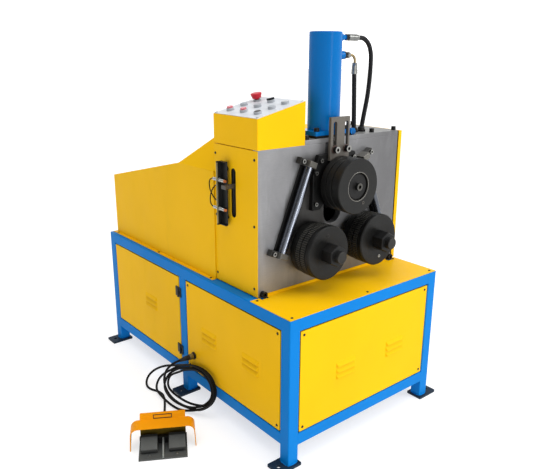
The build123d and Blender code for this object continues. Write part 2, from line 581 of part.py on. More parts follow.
with BuildPart() as rails:
    with BuildSketch(RAIL_PL):
        with Locations((ROD_U - 4, (V_LOW + V_HIGH) / 2)):
            Rectangle(STRIP_W, V_HIGH - V_LOW)
    extrude(amount=STRIP_T)
    chamfer(rails.faces().sort_by(Axis.Y)[0].edges(), 1.5)
    mirror(about=MID_PL)
with BuildPart() as gibs:
    with BuildSketch(Plane(origin=(0, PLATE_F, 0), x_dir=(1, 0, 0), z_dir=(0, -1, 0))):
        with BuildLine():
            Polyline((-122, 922), (-122, 1066), (-92, 1140), (CX - 40, 1140), (CX - 40, 975), (-80, 922), close=True)
        make_face()
    extrude(amount=20)
    chamfer(gibs.faces().sort_by(Axis.Y)[0].edges(), 1.5)
    mirror(about=MID_PL)
guide_plates = group("guide_plates", rails, gibs)
export_step(guide_plates, "parts/guide_plates.step")

with BuildPart() as rods_only:
    rod(tuple(RAIL_PL.from_local_coords((ROD_U, V_LOW, ROD_W))), tuple(RAIL_PL.y_dir), GUIDE_R, V_HIGH - V_LOW)
    mirror(about=MID_PL)
with BuildPart() as rod_blocks:
    for v in (V_HIGH, V_LOW - BLOCK_L):
        with BuildSketch(RAIL_PL):
            with Locations((ROD_U, v + BLOCK_L / 2)):
                Rectangle(BLOCK_W, BLOCK_L)
        extrude(amount=BLOCK_T)
    chamfer(rod_blocks.faces().filter_by(Axis.Y).sort_by(Axis.Y)[0].edges(), 3.0)
    chamfer(rod_blocks.faces().filter_by(Axis.Y).sort_by(Axis.Y)[1].edges(), 3.0)
    mirror(about=MID_PL)
guide_rods = group("guide_rods", rods_only, rod_blocks)
export_step(guide_rods, "parts/guide_rods.step")

with BuildPart() as rod_brackets:
    for v in (V_HIGH, V_LOW - BLOCK_L):
        with BuildSketch(RAIL_PL):
            with Locations(((BRACKET_U + ROD_U - BLOCK_W / 2) / 2, v + BLOCK_L / 2)):
                Rectangle(ROD_U - BLOCK_W / 2 - BRACKET_U, BLOCK_L)
        extrude(amount=BRACKET_T)
    chamfer(rod_brackets.faces().filter_by(Axis.Y).sort_by(Axis.Y)[0].edges(), 2.0)
    chamfer(rod_brackets.faces().filter_by(Axis.Y).sort_by(Axis.Y)[1].edges(), 2.0)
    mirror(about=MID_PL)
rod_brackets.part.label = "rod_brackets"
export_step(rod_brackets.part, "parts/rod_brackets.step")

with BuildPart() as socket_screws:
    for s in (-1, 1):
        for x, z in ((-84.0, 1118.0), (-110.0, 1072.0), (-108.0, 948.0)):
            socket_screw((x if s < 0 else 2 * CX - x, PLATE_F - 20, z), (0, -1, 0), 8.0, 9.0)
        for v in (V_HIGH + BLOCK_L / 2, V_LOW - BLOCK_L / 2):
            p = RAIL_PL.from_local_coords((BRACKET_U + 12, v, BRACKET_T))
            socket_screw((p.X if s < 0 else 2 * CX - p.X, p.Y, p.Z), (0, -1, 0), 9.0, 8.0)
socket_screws.part.label = "socket_screws"
export_step(socket_screws.part, "parts/socket_screws.step")

# ----------------------------------------------------------------------------
# Hydraulic cylinder
# ----------------------------------------------------------------------------
PORT_A, PORT_B = 1586.0, 1512.0
with BuildPart() as cylinder_barrel:
    turned((CX, CYL_Y, 0), (0, 0, 1), (1, 0, 0),
           [(ROD_R + RUN, CYL_Z0), (CYL_R, CYL_Z0), (CYL_R, CYL_Z1 - 3), (CYL_R - 3, CYL_Z1), (0, CYL_Z1), (0, CYL_Z1 - 22),
            (CYL_BORE, CYL_Z1 - 22), (CYL_BORE, CYL_Z0 + 40), (ROD_R + RUN, CYL_Z0 + 40)])
    rod((CX + CYL_R - 8, CYL_Y, PORT_A - 6), (1, 0, 0), 11.0, 22)
    rod((CX + CYL_R - 8, CYL_Y, PORT_B), (1, 0, 0), 17.0, 40)
cylinder_barrel.part.label = "cylinder_barrel"
export_step(cylinder_barrel.part, "parts/cylinder_barrel.step")

with BuildPart() as flange_plate:
    blk(FL_X0, FL_X1, FL_Y0, FL_Y1, FL_Z0, FL_Z1)
    fillet(flange_plate.edges().filter_by(Axis.Z), 6)
    blk(FL_X1 - 2, FL_X1 + 18, FL_Y0 + 6, FL_Y0 + 34, FL_Z0 + 1, FL_Z1 - 3)
    rod((FL_X1 + 17, FL_Y0, FL_Z0 + 4), (0, 1, 0), 14.0, 38)
    rod((CX, CYL_Y, FL_Z0 - 1), (0, 0, 1), 32.0, 20, mode=Mode.SUBTRACT)
with BuildPart() as flange_spacer:
    blk(FL_X0 + 4, FL_X1 - 4, FL_Y0 + 4, FL_Y1 - 4, DECK, FL_Z0)
    rod((CX, CYL_Y, DECK - 1), (0, 0, 1), 32.0, 20, mode=Mode.SUBTRACT)
cylinder_flange = group("cylinder_flange", flange_plate, flange_spacer)
export_step(cylinder_flange, "parts/cylinder_flange.step")

A_X0 = CX + CYL_R + 14                # end of the upper port boss
B_X0 = CX + CYL_R + 32                # end of the lower port boss
with BuildPart() as fit_upper:
    hexrod((A_X0, CYL_Y, PORT_A - 6), (1, 0, 0), 24.0, 16)
    rod((A_X0 + 16, CYL_Y, PORT_A - 6), (1, 0, 0), 8.0, 12)
    hexrod((A_X0 + 28, CYL_Y, PORT_A - 6), (1, 0, 0), 22.0, 16)
    rod((A_X0 + 44, CYL_Y, PORT_A - 6), (1, 0, 0), 12.5, 55)
with BuildPart() as fit_lower:
    hexrod((B_X0, CYL_Y, PORT_B), (1, 0, 0), 27.0, 14)
    rod((B_X0 + 14, CYL_Y, PORT_B), (1, 0, 0), 9.0, 8)
    hexrod((B_X0 + 22, CYL_Y, PORT_B), (1, 0, 0), 22.0, 14)
    with BuildLine() as bend:
        FilletPolyline((B_X0 + 35, CYL_Y, PORT_B), (175, CYL_Y, PORT_B), (175, CYL_Y, PORT_B - 32), radius=22)
    with BuildSketch(Plane(origin=bend.line @ 0, z_dir=bend.line % 0)):
        Circle(5.5)
    sweep(path=bend.line)
    hexrod((175, CYL_Y, PORT_B - 30), (0, 0, -1), 20.0, 12)
    rod((175, CYL_Y, PORT_B - 42), (0, 0, -1), 12.0, 32)
with BuildPart() as glands:
    for x, y in (HOSE_A, HOSE_B):
        hexrod((x, y, DECK), (0, 0, 1), 32.0, 9)
        turned((x, y, DECK), (0, 0, 1), (1, 0, 0), [(HOSE_D / 2, 9), (15, 9), (15, 15), (12, 20), (HOSE_D / 2, 20)])
hose_fittings = group("hose_fittings", fit_upper, fit_lower, glands)
export_step(hose_fittings, "parts/hose_fittings.step")

H_A0 = A_X0 + 99
HOSE_PTS = [(H_A0, CYL_Y, PORT_A - 6), (H_A0 + 36, CYL_Y, PORT_A - 6), (H_A0 + 70, CYL_Y + 1, 1559), (H_A0 + 88, CYL_Y + 2, 1521),
            (H_A0 + 91, CYL_Y + 3, 1471), (H_A0 + 88, CYL_Y + 3, 1414), (265, CYL_Y + 3, 1343), (248, CYL_Y + 3, 1270),
            (HOSE_A[0], HOSE_A[1], 1209)]
HOSE_RAD = route("hydraulic hose", HOSE_PTS, HOSE_D)
with BuildPart() as hose_long:
    hose_len = cable(HOSE_PTS, HOSE_RAD, HOSE_D)
with BuildPart() as hose_short:
    top = Vector(175, CYL_Y, PORT_B - 74)
    low = Vector(HOSE_B[0], HOSE_B[1], DECK + 9)
    rod(tuple(top), tuple(low - top), HOSE_D / 2, (low - top).length)
print("hose lengths %.0f %.0f" % (hose_len, (low - top).length),
      "volume ratio %.3f" % (hose_long.part.volume / (pi * HOSE_D ** 2 / 4 * hose_len)))
hydraulic_hoses = group("hydraulic_hoses", hose_long, hose_short)
export_step(hydraulic_hoses, "parts/hydraulic_hoses.step")

# ----------------------------------------------------------------------------
# Slide with the upper roll, moved by the piston rod
# ----------------------------------------------------------------------------
SL_Z0, SL_Z1 = 953.0, 1178.0
with BuildPart() as slide_block:
    blk(CX - SLOT_W / 2 + 0.05, CX + SLOT_W / 2 - 0.05, PLATE_F + 0.1, PLATE_F + PLATE_T + 2, SL_Z0 + 50, SL_Z1)
    rod((CX, PLATE_F + 0.1, SL_Z0 + 50), (0, 1, 0), SLOT_W / 2 - 0.4, PLATE_T + 1.9)
    blk(SLIDE_X0, SLIDE_X1, PLATE_F + PLATE_T + 0.1, -304, SL_Z0, SL_Z1)
    rod((CX, PLATE_F - 5, UP_Z), (0, 1, 0), UP_SHAFT_R + RUN, 200, mode=Mode.SUBTRACT)
slide_block.part.label = "slide_block"
export_step(slide_block.part, "parts/slide_block.step")

with BuildPart() as piston_rod:
    turned((CX, CYL_Y, 0), (0, 0, 1), (1, 0, 0),
           [(0, SL_Z1), (ROD_R, SL_Z1), (ROD_R, 1500), (CYL_BORE - RUN, 1500), (CYL_BORE - RUN, 1540), (0, 1540)])
piston_rod.part.label = "piston_rod"
export_step(piston_rod.part, "parts/piston_rod.step")

# Slotted plate on a spacer, held by two cap screws with washers
SP_X0, SP_X1, SP_Z0, SP_Z1 = CX - 54, CX + 50, 1115.0, 1283.0
SP_B, SP_F = -504.0, -516.0
BOLT_DX, SP_BOLT_Z = 31.0, 1158.0
with BuildPart() as slotted:
    blk(SP_X0, SP_X1, SP_F, SP_B, SP_Z0, SP_Z1)
    chamfer(slotted.faces().sort_by(Axis.Y)[0].edges(), 1.0)
    with BuildSketch(Plane(origin=(CX, SP_F - 1, 0), x_dir=(1, 0, 0), z_dir=(0, -1, 0))):
        for s in (-1, 1):
            with Locations((s * BOLT_DX, 1205)):
                SlotOverall(122, 19, rotation=90)
    extrude(amount=-20, mode=Mode.SUBTRACT)
with BuildPart() as slotted_spacer:
    blk(CX - 36, CX + 36, SP_B, PLATE_F + 0.1, 1120, 1176)
with BuildPart() as slotted_screws:
    for s in (-1, 1):
        rod((CX + s * BOLT_DX, SP_F, SP_BOLT_Z), (0, -1, 0), 16.0, 3)
        socket_screw((CX + s * BOLT_DX, SP_F - 3, SP_BOLT_Z), (0, -1, 0), 13.0, 16)
        rod((CX + s * BOLT_DX, SP_B, SP_BOLT_Z), (0, -1, 0), 8.0, SP_B - SP_F)
slot_plate = group("slot_plate", slotted, slotted_spacer, slotted_screws)
export_step(slot_plate, "parts/slot_plate.step")

ARM_Z0, ARM_Z1 = 1021.0, 1036.0
with BuildPart() as target_arm:
    blk(-429, SLIDE_X0, ARM_Y0, ARM_Y1, ARM_Z0, ARM_Z1)
    blk(-429, -425, -346, -319, ARM_Z0, ARM_Z1)
target_arm.part.label = "target_arm"
export_step(target_arm.part, "parts/target_arm.step")

with BuildPart() as upper_roll:
    turned((CX, 0, UP_Z), (0, 1, 0), (0, 0, 1),
           [(UP_SHAFT_R, UP_B), (UP_R - 4, UP_B), (UP_R - 2, UP_B - 2), (UP_R - 2, UP_B - 26), (UP_R - 7, UP_B - 28),
            (UP_R - 7, UP_B - 32), (UP_R - 1, UP_B - 34), (UP_R - 1, UP_B - 58), (UP_R - 6, UP_B - 60), (UP_R - 6, UP_B - 64),
            (UP_R, UP_B - 66), (UP_R, UP_F + 3), (UP_R - 3, UP_F), (58, UP_F), (57, UP_F + 1), (57, UP_F + 12), (UP_SHAFT_R, UP_F + 12)])
upper_roll.part.label = "upper_roll"
export_step(upper_roll.part, "parts/upper_roll.step")

with BuildPart() as up_spindle:
    rod((CX, UP_F + 12, UP_Z), (0, 1, 0), UP_SHAFT_R, -310 - UP_F - 12)
    rod((CX, UP_B, UP_Z), (0, 1, 0), 36.0, 32)
with BuildPart() as up_cap:
    rod((CX, UP_F + 12, UP_Z), (0, -1, 0), 50.0, 6)
    chamfer(up_cap.faces().sort_by(Axis.Y)[0].edges(), 1.5)
with BuildPart() as up_screw:
    socket_screw((CX, UP_F + 6, UP_Z), (0, -1, 0), 15.0, 14)
upper_shaft = group("upper_shaft", up_spindle, up_cap, up_screw)
export_step(upper_shaft, "parts/upper_shaft.step")

# ----------------------------------------------------------------------------
# Lower rolls on driven shafts, geared together through the pinion
# ----------------------------------------------------------------------------
LOWER = [(SHAFT_R, ROLL_B), (ROLL_R - 7, ROLL_B), (ROLL_R - 4, ROLL_B - 3), (ROLL_R - 4, ROLL_B - 27), (ROLL_R - 10, ROLL_B - 29),
         (ROLL_R - 10, ROLL_B - 33), (ROLL_R - 1, ROLL_B - 35), (ROLL_R - 1, ROLL_B - 56), (ROLL_R - 7, ROLL_B - 58),
         (ROLL_R - 7, ROLL_B - 61), (ROLL_R, ROLL_B - 63), (ROLL_R, ROLL_B - 86), (ROLL_R - 5, ROLL_B - 88), (ROLL_R - 5, ROLL_B - 91),
         (ROLL_R, ROLL_B - 92), (ROLL_R, ROLL_F + 4), (ROLL_R - 4, ROLL_F), (SHAFT_R, ROLL_F)]
LEFT_X, RIGHT_X = CX - ROLL_DX, CX + ROLL_DX
SHAFT = [(0, REAR_B - 1), (SHAFT_R, REAR_B - 1), (SHAFT_R, ROLL_F), (24, ROLL_F), (24, -687), (22, -689), (0, -689)]
GEAR_PL = Plane(origin=(0, GEAR_Y0, 0), x_dir=(-1, 0, 0), z_dir=(0, 1, 0))

with BuildPart() as lower_roll_left:
    turned((LEFT_X, 0, ROLL_Z), (0, 1, 0), (0, 0, 1), LOWER)
lower_roll_left.part.label = "lower_roll_left"
export_step(lower_roll_left.part, "parts/lower_roll_left.step")

with BuildPart() as lower_roll_right:
    turned((RIGHT_X, 0, ROLL_Z), (0, 1, 0), (0, 0, 1), LOWER)
lower_roll_right.part.label = "lower_roll_right"
export_step(lower_roll_right.part, "parts/lower_roll_right.step")

with BuildPart() as spindle_left:
    turned((LEFT_X, 0, ROLL_Z), (0, 1, 0), (0, 0, 1), SHAFT)
with BuildPart() as gear_left:
    with BuildSketch(Plane(origin=(LEFT_X, GEAR_Y0, ROLL_Z), x_dir=(-1, 0, 0), z_dir=(0, 1, 0))):
        with BuildLine():
            Polyline(*gear_points(GEAR_T, MODULE, True), close=True)
        make_face()
        Circle(SHAFT_R + 0.02, mode=Mode.SUBTRACT)
    extrude(amount=GEAR_Y1 - GEAR_Y0)
with BuildPart() as nut_left:
    hexrod((LEFT_X, ROLL_F, ROLL_Z), (0, -1, 0), 75.0, 52)
    chamfer(nut_left.faces().sort_by(Axis.Y)[0].edges(), 2.5)
    rod((LEFT_X, ROLL_F + 1, ROLL_Z), (0, -1, 0), 24.02, 60, mode=Mode.SUBTRACT)
lower_shaft_left = group("lower_shaft_left", spindle_left, gear_left, nut_left)
export_step(lower_shaft_left, "parts/lower_shaft_left.step")

with BuildPart() as spindle_right:
    turned((RIGHT_X, 0, ROLL_Z), (0, 1, 0), (0, 0, 1), SHAFT)
with BuildPart() as gear_right:
    with BuildSketch(Plane(origin=(RIGHT_X, GEAR_Y0, ROLL_Z), x_dir=(-1, 0, 0), z_dir=(0, 1, 0))):
        with BuildLine():
            Polyline(*gear_points(GEAR_T, MODULE, True), close=True)
        make_face()
        Circle(SHAFT_R + 0.02, mode=Mode.SUBTRACT)
    extrude(amount=GEAR_Y1 - GEAR_Y0)
with BuildPart() as nut_right:
    hexrod((RIGHT_X, ROLL_F, ROLL_Z), (0, -1, 0), 75.0, 52)
    chamfer(nut_right.faces().sort_by(Axis.Y)[0].edges(), 2.5)
    rod((RIGHT_X, ROLL_F + 1, ROLL_Z), (0, -1, 0), 24.02, 60, mode=Mode.SUBTRACT)
lower_shaft_right = group("lower_shaft_right", spindle_right, gear_right, nut_right)
export_step(lower_shaft_right, "parts/lower_shaft_right.step")

PIN_SHAFT = 25.0
with BuildPart() as pin_gear:
    with BuildSketch(Plane(origin=(CX, GEAR_Y0, ROLL_Z), x_dir=(-1, 0, 0), z_dir=(0, 1, 0))):
        with BuildLine():
            Polyline(*gear_points(PIN_T, MODULE, False), close=True)
        make_face()
        Circle(PIN_SHAFT + 0.02, mode=Mode.SUBTRACT)
    extrude(amount=GEAR_Y1 - GEAR_Y0)
with BuildPart() as pin_shaft:
    rod((CX, GEAR_Y0 - 12, ROLL_Z), (0, 1, 0), PIN_SHAFT, -150 - GEAR_Y0 + 12)
drive_pinion = group("drive_pinion", pin_gear, pin_shaft)
export_step(drive_pinion, "parts/drive_pinion.step")

with BuildPart() as lower_bearings:
    for x in (LEFT_X, RIGHT_X):
        turned((x, 0, ROLL_Z), (0, 1, 0), (0, 0, 1),
               [(SHAFT_R + RUN, PLATE_F - 18), (BEAR_FL - 2, PLATE_F - 18), (BEAR_FL, PLATE_F - 16), (BEAR_FL, PLATE_F),
                (BEAR_R, PLATE_F), (BEAR_R, PLATE_F + PLATE_T + 4), (SHAFT_R + RUN, PLATE_F + PLATE_T + 4)])
        turned((x, 0, ROLL_Z), (0, 1, 0), (0, 0, 1),
               [(SHAFT_R + RUN, REAR_F - 4), (50, REAR_F - 4), (50, REAR_B), (SHAFT_R + RUN, REAR_B)])
lower_bearings.part.label = "lower_bearings"
export_step(lower_bearings.part, "parts/lower_bearings.step")

# ----------------------------------------------------------------------------
# Gear motor behind the rear plate, power pack and electrics in the base
# ----------------------------------------------------------------------------
with BuildPart() as gm_flange:
    blk(CX - 96, CX + 96, REAR_B, REAR_B + 14, ROLL_Z - 120, ROLL_Z + 120)
    rod((CX, REAR_B - 1, ROLL_Z), (0, 1, 0), PIN_SHAFT + RUN, 20, mode=Mode.SUBTRACT)
with BuildPart() as gm_reducer:
    with BuildSketch(Plane(origin=(CX, REAR_B + 14, ROLL_Z), x_dir=(1, 0, 0), z_dir=(0, 1, 0))):
        RectangleRounded(210, 220, 18)
    extrude(amount=40 - REAR_B - 14)
    rod((CX, REAR_B - 1, ROLL_Z), (0, 1, 0), PIN_SHAFT + RUN, 70, mode=Mode.SUBTRACT)
with BuildPart() as gm_motor:
    rod((CX, 40, ROLL_Z), (0, 1, 0), 92.0, 280)
with BuildPart() as gm_cowl:
    rod((CX, 320, ROLL_Z), (0, 1, 0), 96.0, 70)
    chamfer(gm_cowl.faces().sort_by(Axis.Y)[-1].edges(), 10)
with BuildPart() as gm_box:
    blk(CX - 50, CX + 50, 130, 230, ROLL_Z + 92, ROLL_Z + 142)
with BuildPart() as gm_saddle:
    blk(CX - 60, CX + 60, 150, 190, FRAME_TOP, ROLL_Z - 92)
gear_motor = group("gear_motor", gm_flange, gm_reducer, gm_motor, gm_cowl, gm_box, gm_saddle)
export_step(gear_motor, "parts/gear_motor.step")

PACK_TOP = RAIL_TOP + 216
with BuildPart() as pack_tank:
    with BuildSketch(Plane.XY.offset(RAIL_TOP)):
        with Locations((-20, -345)):
            RectangleRounded(400, 430, 12)
    extrude(amount=210)
    blk(-216, 176, -556, -134, RAIL_TOP + 4, 360, mode=Mode.SUBTRACT)
with BuildPart() as pack_lid:
    blk(-220, 180, -560, -130, PACK_TOP - 6, PACK_TOP)
with BuildPart() as pack_motor:
    rod((-60, -250, PACK_TOP), (0, 0, 1), 75.0, 170)
with BuildPart() as pack_valve:
    blk(-20, 60, -500, -400, PACK_TOP, PACK_TOP + 100)
with BuildPart() as pack_filler:
    rod((-130, -470, PACK_TOP), (0, 0, 1), 22.0, 40)
power_pack = group("power_pack", pack_tank, pack_lid, pack_motor, pack_valve, pack_filler)
export_step(power_pack, "parts/power_pack.step")

with BuildPart() as el_plate:
    blk(-100, -97, 80, 620, RAIL_TOP, TOP_LOW)
with BuildPart() as el_rails:
    blk(-112, -100, 110, 590, 452, 487)
    blk(-112, -100, 110, 590, 292, 327)
    blk(-140, -100, 110, 590, 180, 220)
with BuildPart() as el_units:
    for i in range(6):
        blk(-185, -112, 120 + i * 55, 165 + i * 55, 430, 510)
    for i in range(8):
        blk(-160, -112, 120 + i * 50, 160 + i * 50, 275, 345)
electric_backplate = group("electric_backplate", el_plate, el_rails, el_units)
export_step(electric_backplate, "parts/electric_backplate.step")

# ----------------------------------------------------------------------------
# Position sensors on the left cover
# ----------------------------------------------------------------------------
SR_X, SR_Z0, SR_Z1 = -398.0, 868.0, 1121.0
SENS_X, SENS_Z = -410.0, (1047.0, 933.5)
with BuildPart() as sensor_rail:
    blk(SR_X, SR_X + 3, -314, -274, SR_Z0, SR_Z1)
    blk(-421, SR_X + 3, -277, -274, SR_Z0, SR_Z1)
    blk(-408, SR_X + 3, -314, -274, SR_Z1 - 3, SR_Z1)
    blk(-408, SR_X + 3, -314, -274, SR_Z0, SR_Z0 + 3)
    for z in (SR_Z0 + 30, SR_Z1 - 30):
        rod((SR_X + 3, -294, z), (1, 0, 0), 8.0, PLATE_X0 - SHEET - SR_X - 3)
    for z in SENS_Z:
        rod((SENS_X, -280, z), (0, 1, 0), 6.1, 10, mode=Mode.SUBTRACT)
sensor_rail.part.label = "sensor_rail"
export_step(sensor_rail.part, "parts/sensor_rail.step")

with BuildPart() as sensor_bodies:
    for z in SENS_Z:
        rod((SENS_X, -240, z), (0, -1, 0), 6.0, 72)
        rod((SENS_X, -312, z), (0, -1, 0), 5.6, 8)
        hexrod((SENS_X, -274, z), (0, 1, 0), 17.0, 4)
        hexrod((SENS_X, -277, z), (0, -1, 0), 17.0, 4)
LEAD_D = 4.5
LEAD_TOP = [(SENS_X, -240, 1047), (SENS_X, -226, 1046), (SENS_X - 1, -214, 1038), (SENS_X - 1, -209, 1020), (SENS_X, -213, 998),
            (SENS_X + 4, -224, 976), (SENS_X + 10, -237, 960), (SENS_X + 17, -247, 952), (PLATE_X0 - SHEET - 2, -254, 949)]
LEAD_LOW = [(SENS_X, -240, 933.5), (SENS_X, -227, 935), (SENS_X - 1, -217, 944), (SENS_X - 1, -214, 962), (SENS_X, -218, 985),
            (SENS_X + 4, -227, 1005), (SENS_X + 10, -238, 1019), (SENS_X + 17, -247, 1025), (PLATE_X0 - SHEET - 2, -254, 1027)]
with BuildPart() as sensor_lead_top:
    cable(LEAD_TOP, route("sensor lead, top", LEAD_TOP, LEAD_D), LEAD_D)
with BuildPart() as sensor_lead_low:
    cable(LEAD_LOW, route("sensor lead, low", LEAD_LOW, LEAD_D), LEAD_D)
with BuildPart() as lead_grommets:
    for p in (LEAD_TOP[-1], LEAD_LOW[-1]):
        rod((PLATE_X0 - SHEET, p[1], p[2]), (-1, 0, 0), 6.0, 2.0)
proximity_sensors = group("proximity_sensors", sensor_bodies, sensor_lead_top, sensor_lead_low, lead_grommets)
export_step(proximity_sensors, "parts/proximity_sensors.step")

# ----------------------------------------------------------------------------
# Foot switch on the floor, with its two pedals under a guard hood
# ----------------------------------------------------------------------------
FS_ORG = (-761.8, -371.2, 0.0)
FS_X, FS_Y = (0.8634, -0.5045, 0.0), (0.5045, 0.8634, 0.0)
FS = Plane(origin=FS_ORG, x_dir=FS_X, z_dir=(0, 0, 1))
FS_SIDE = Plane(origin=FS_ORG, x_dir=FS_Y, z_dir=FS_X)            # local x back, local y up


def fs(u, v, w):
    return tuple(FS.from_local_coords((u, v, w)))


def fs_blk(u0, u1, v0, v1, w0, w1, mode=Mode.ADD):
    with BuildSketch(FS.offset(w0)) as sk:
        with Locations(((u0 + u1) / 2, (v0 + v1) / 2)):
            Rectangle(u1 - u0, v1 - v0)
    extrude(sk.sketch, amount=w1 - w0, mode=mode)


PEDAL_PIVOT = (101.0, 30.0)           # back, up
PEDAL_PIN = 3.0
with BuildPart() as fs_plate:
    fs_blk(-94.5, 94.5, 0, 156, 0, 8)
    fs_blk(-3.5, 3.5, 0, 92, 8, 10)
    for u in (-53, 53):
        rod(fs(u, 20, 8), (0, 0, 1), 4.0, 2.0)
with BuildPart() as fs_body:
    fs_blk(-82, 82, 122, 150, 8, 70)
with BuildPart() as fs_lugs:
    for u0, u1 in ((-93, -88), (-18, 18), (88, 93)):
        fs_blk(u0, u1, 95, 111, 8, 38)
    rod(fs(-95, *PEDAL_PIVOT), FS_X, PEDAL_PIN + 0.02, 190, mode=Mode.SUBTRACT)
with BuildPart() as fs_pin:
    rod(fs(-93, *PEDAL_PIVOT), FS_X, PEDAL_PIN, 186)
foot_switch_base = group("foot_switch_base", fs_plate, fs_body, fs_lugs, fs_pin)
export_step(foot_switch_base, "parts/foot_switch_base.step")


def hood_section(t):
    """Guard section: feet at the floor, rounded shoulders, flat top."""
    w0, w1, h, r = 131 - t, 126 - t, 98 - t, 30 - t
    with BuildLine() as ln:
        FilletPolyline((-w0, 0), (-w1, h), (w1, h), (w0, 0), radius=r)
        Line((w0, 0), (-w0, 0))
    make_face(ln.edges())


GUARD_T = 3.5
HOOD_PL = Plane(origin=FS_ORG, x_dir=FS_X, z_dir=tuple(-c for c in FS_Y))      # local y up, normal to the front
with BuildPart() as guard_arch:
    with BuildSketch(HOOD_PL.offset(-133)):
        hood_section(0.0)
    extrude(amount=65)
    with BuildSketch(HOOD_PL.offset(-134)):
        hood_section(GUARD_T)
    extrude(amount=75, mode=Mode.SUBTRACT)
    with BuildSketch(FS_SIDE.offset(-150)):
        with BuildLine():
            Polyline((134, 62), (134, -2), (78, -2), close=True)
        make_face()
    extrude(amount=300, mode=Mode.SUBTRACT)
    split(bisect_by=FS_SIDE.offset(-96), keep=Keep.BOTH)
    split(bisect_by=FS_SIDE.offset(96), keep=Keep.BOTH)
with BuildPart() as guard_roof:
    with BuildSketch(FS_SIDE.offset(-91)):
        with BuildLine():
            Polyline((133, 94.5), (133, 98), (143, 112), (160, 112), (160, 108.5), (144.8, 108.5), close=True)
        make_face()
    extrude(amount=182)
with BuildPart() as guard_sides:
    for u in (-91, 91 - GUARD_T):
        with BuildSketch(FS_SIDE.offset(u)):
            with BuildLine():
                Polyline((133, 8.2), (133, 94.5), (144.8, 108.5), (156.5, 108.5), (156.5, 8.2), close=True)
            make_face()
        extrude(amount=GUARD_T)
with BuildPart() as guard_back:
    with BuildSketch(FS_SIDE.offset(-91)):
        with BuildLine():
            Polyline((156.5, 8.2), (156.5, 108.5), (160, 108.5), (160, 8.2), close=True)
        make_face()
    extrude(amount=182)
with BuildPart() as guard_wings:
    with BuildSketch(HOOD_PL.offset(-133)):
        hood_section(GUARD_T)
    extrude(amount=3)
    fs_blk(-91, 91, 120, 140, -2, 100, mode=Mode.SUBTRACT)
    fs_blk(-140, 140, 120, 140, -2, 66, mode=Mode.SUBTRACT)
with BuildPart() as guard_wall:
    fs_blk(-90, 90, 117, 120, 30, 94.5)
with BuildPart() as guard_gland:
    turned(fs(0, 160, 30), FS_Y, FS_X, [(0, 0), (11, 0), (11, 4), (9, 5), (9, 12), (7, 18), (0, 18)])
foot_switch_hood = group("foot_switch_hood", guard_arch, guard_roof, guard_sides, guard_back, guard_wings, guard_wall, guard_gland)
export_step(foot_switch_hood, "parts/foot_switch_hood.step")

PEDAL_W = 64.0
PEDAL = [(30, 16), (30, 25), (92, 47), (101, 50), (107, 46), (107, 24), (101, 21), (60, 16)]
with BuildPart() as pedal_left:
    with BuildSketch(FS_SIDE.offset(-86)):
        with BuildLine():
            Polyline(*PEDAL, close=True)
        make_face()
        with Locations(PEDAL_PIVOT):
            Circle(PEDAL_PIN + RUN, mode=Mode.SUBTRACT)
    extrude(amount=PEDAL_W)
pedal_left.part.label = "pedal_left"
export_step(pedal_left.part, "parts/pedal_left.step")

with BuildPart() as pedal_right:
    with BuildSketch(FS_SIDE.offset(22)):
        with BuildLine():
            Polyline(*PEDAL, close=True)
        make_face()
        with Locations(PEDAL_PIVOT):
            Circle(PEDAL_PIN + RUN, mode=Mode.SUBTRACT)
    extrude(amount=PEDAL_W)
pedal_right.part.label = "pedal_right"
export_step(pedal_right.part, "parts/pedal_right.step")

# Socket on the side panel and the cable, in loose turns beside the base
PLUG_L = 74.0
with BuildPart() as cable_socket:
    rod((-BASE_X + REC + 10, SOCKET_Y, SOCKET_Z), (-1, 0, 0), 9.9, 12)
    turned((-BASE_X + REC, SOCKET_Y, SOCKET_Z), (-1, 0, 0), (0, 1, 0),
           [(0, 0), (17, 0), (17, 5), (15, 7), (11.5, 7), (11.5, 10), (13.5, 10), (13.5, 28), (11, 29), (11, 50), (9.5, 53), (6.5, PLUG_L), (0, PLUG_L)])
cable_socket.part.label = "cable_socket"
export_step(cable_socket.part, "parts/cable_socket.step")

EXIT = (-BASE_X + REC - PLUG_L, SOCKET_Y, SOCKET_Z)
LEAD_IN = [EXIT, (-513, -71, 212), (-531, -69.5, 208), (-545, -63, 197), (-554, -54, 181), (-558, -45, 160), (-560, -38, 136), (-559, -34, 111), (-556, -37, 86),
           (-551, -48, 63), (-545, -68, 46), (-538, -95, 35)]
COIL = [(-452, 16, 130), (-463, 44, 112), (-480, 66, 91), (-499, 70, 68), (-516, 60, 47), (-529, 36, 33), (-537, 0, 27), (-541, -44, 21),
        (-534, -94, 16), (-518, -143, 17), (-500, -190, 27), (-480, -231, 48), (-460, -255, 76), (-446, -261, 107), (-441, -250, 140),
        (-441, -230, 168), (-441, -192, 182), (-441, -130, 180), (-443, -72, 166), (-447, -30, 149)]
COIL_D = 27.0
INNER = [(-447, -74, 158), (-455, -36, 138), (-464, -7, 118), (-471, 21, 101), (-477, 41, 88), (-483, 53, 73), (-490, 55, 56), (-497, 46, 42), (-503, 27, 34),
         (-506, 0, 31), (-507, -30, 29.5), (-506, -64, 29.5), (-503, -108, 31), (-495, -162, 36), (-481, -216, 50)]
OUTER = [(-474, 56, 101), (-489, 76, 87), (-501, 92, 70), (-513, 100, 52), (-525, 98, 36), (-536, 86, 24), (-545, 63, 18.3), (-551, 24, 18.5), (-556, -30, 18.4),
         (-550, -88, 11), (-534, -138, 8), (-514, -176, 13)]
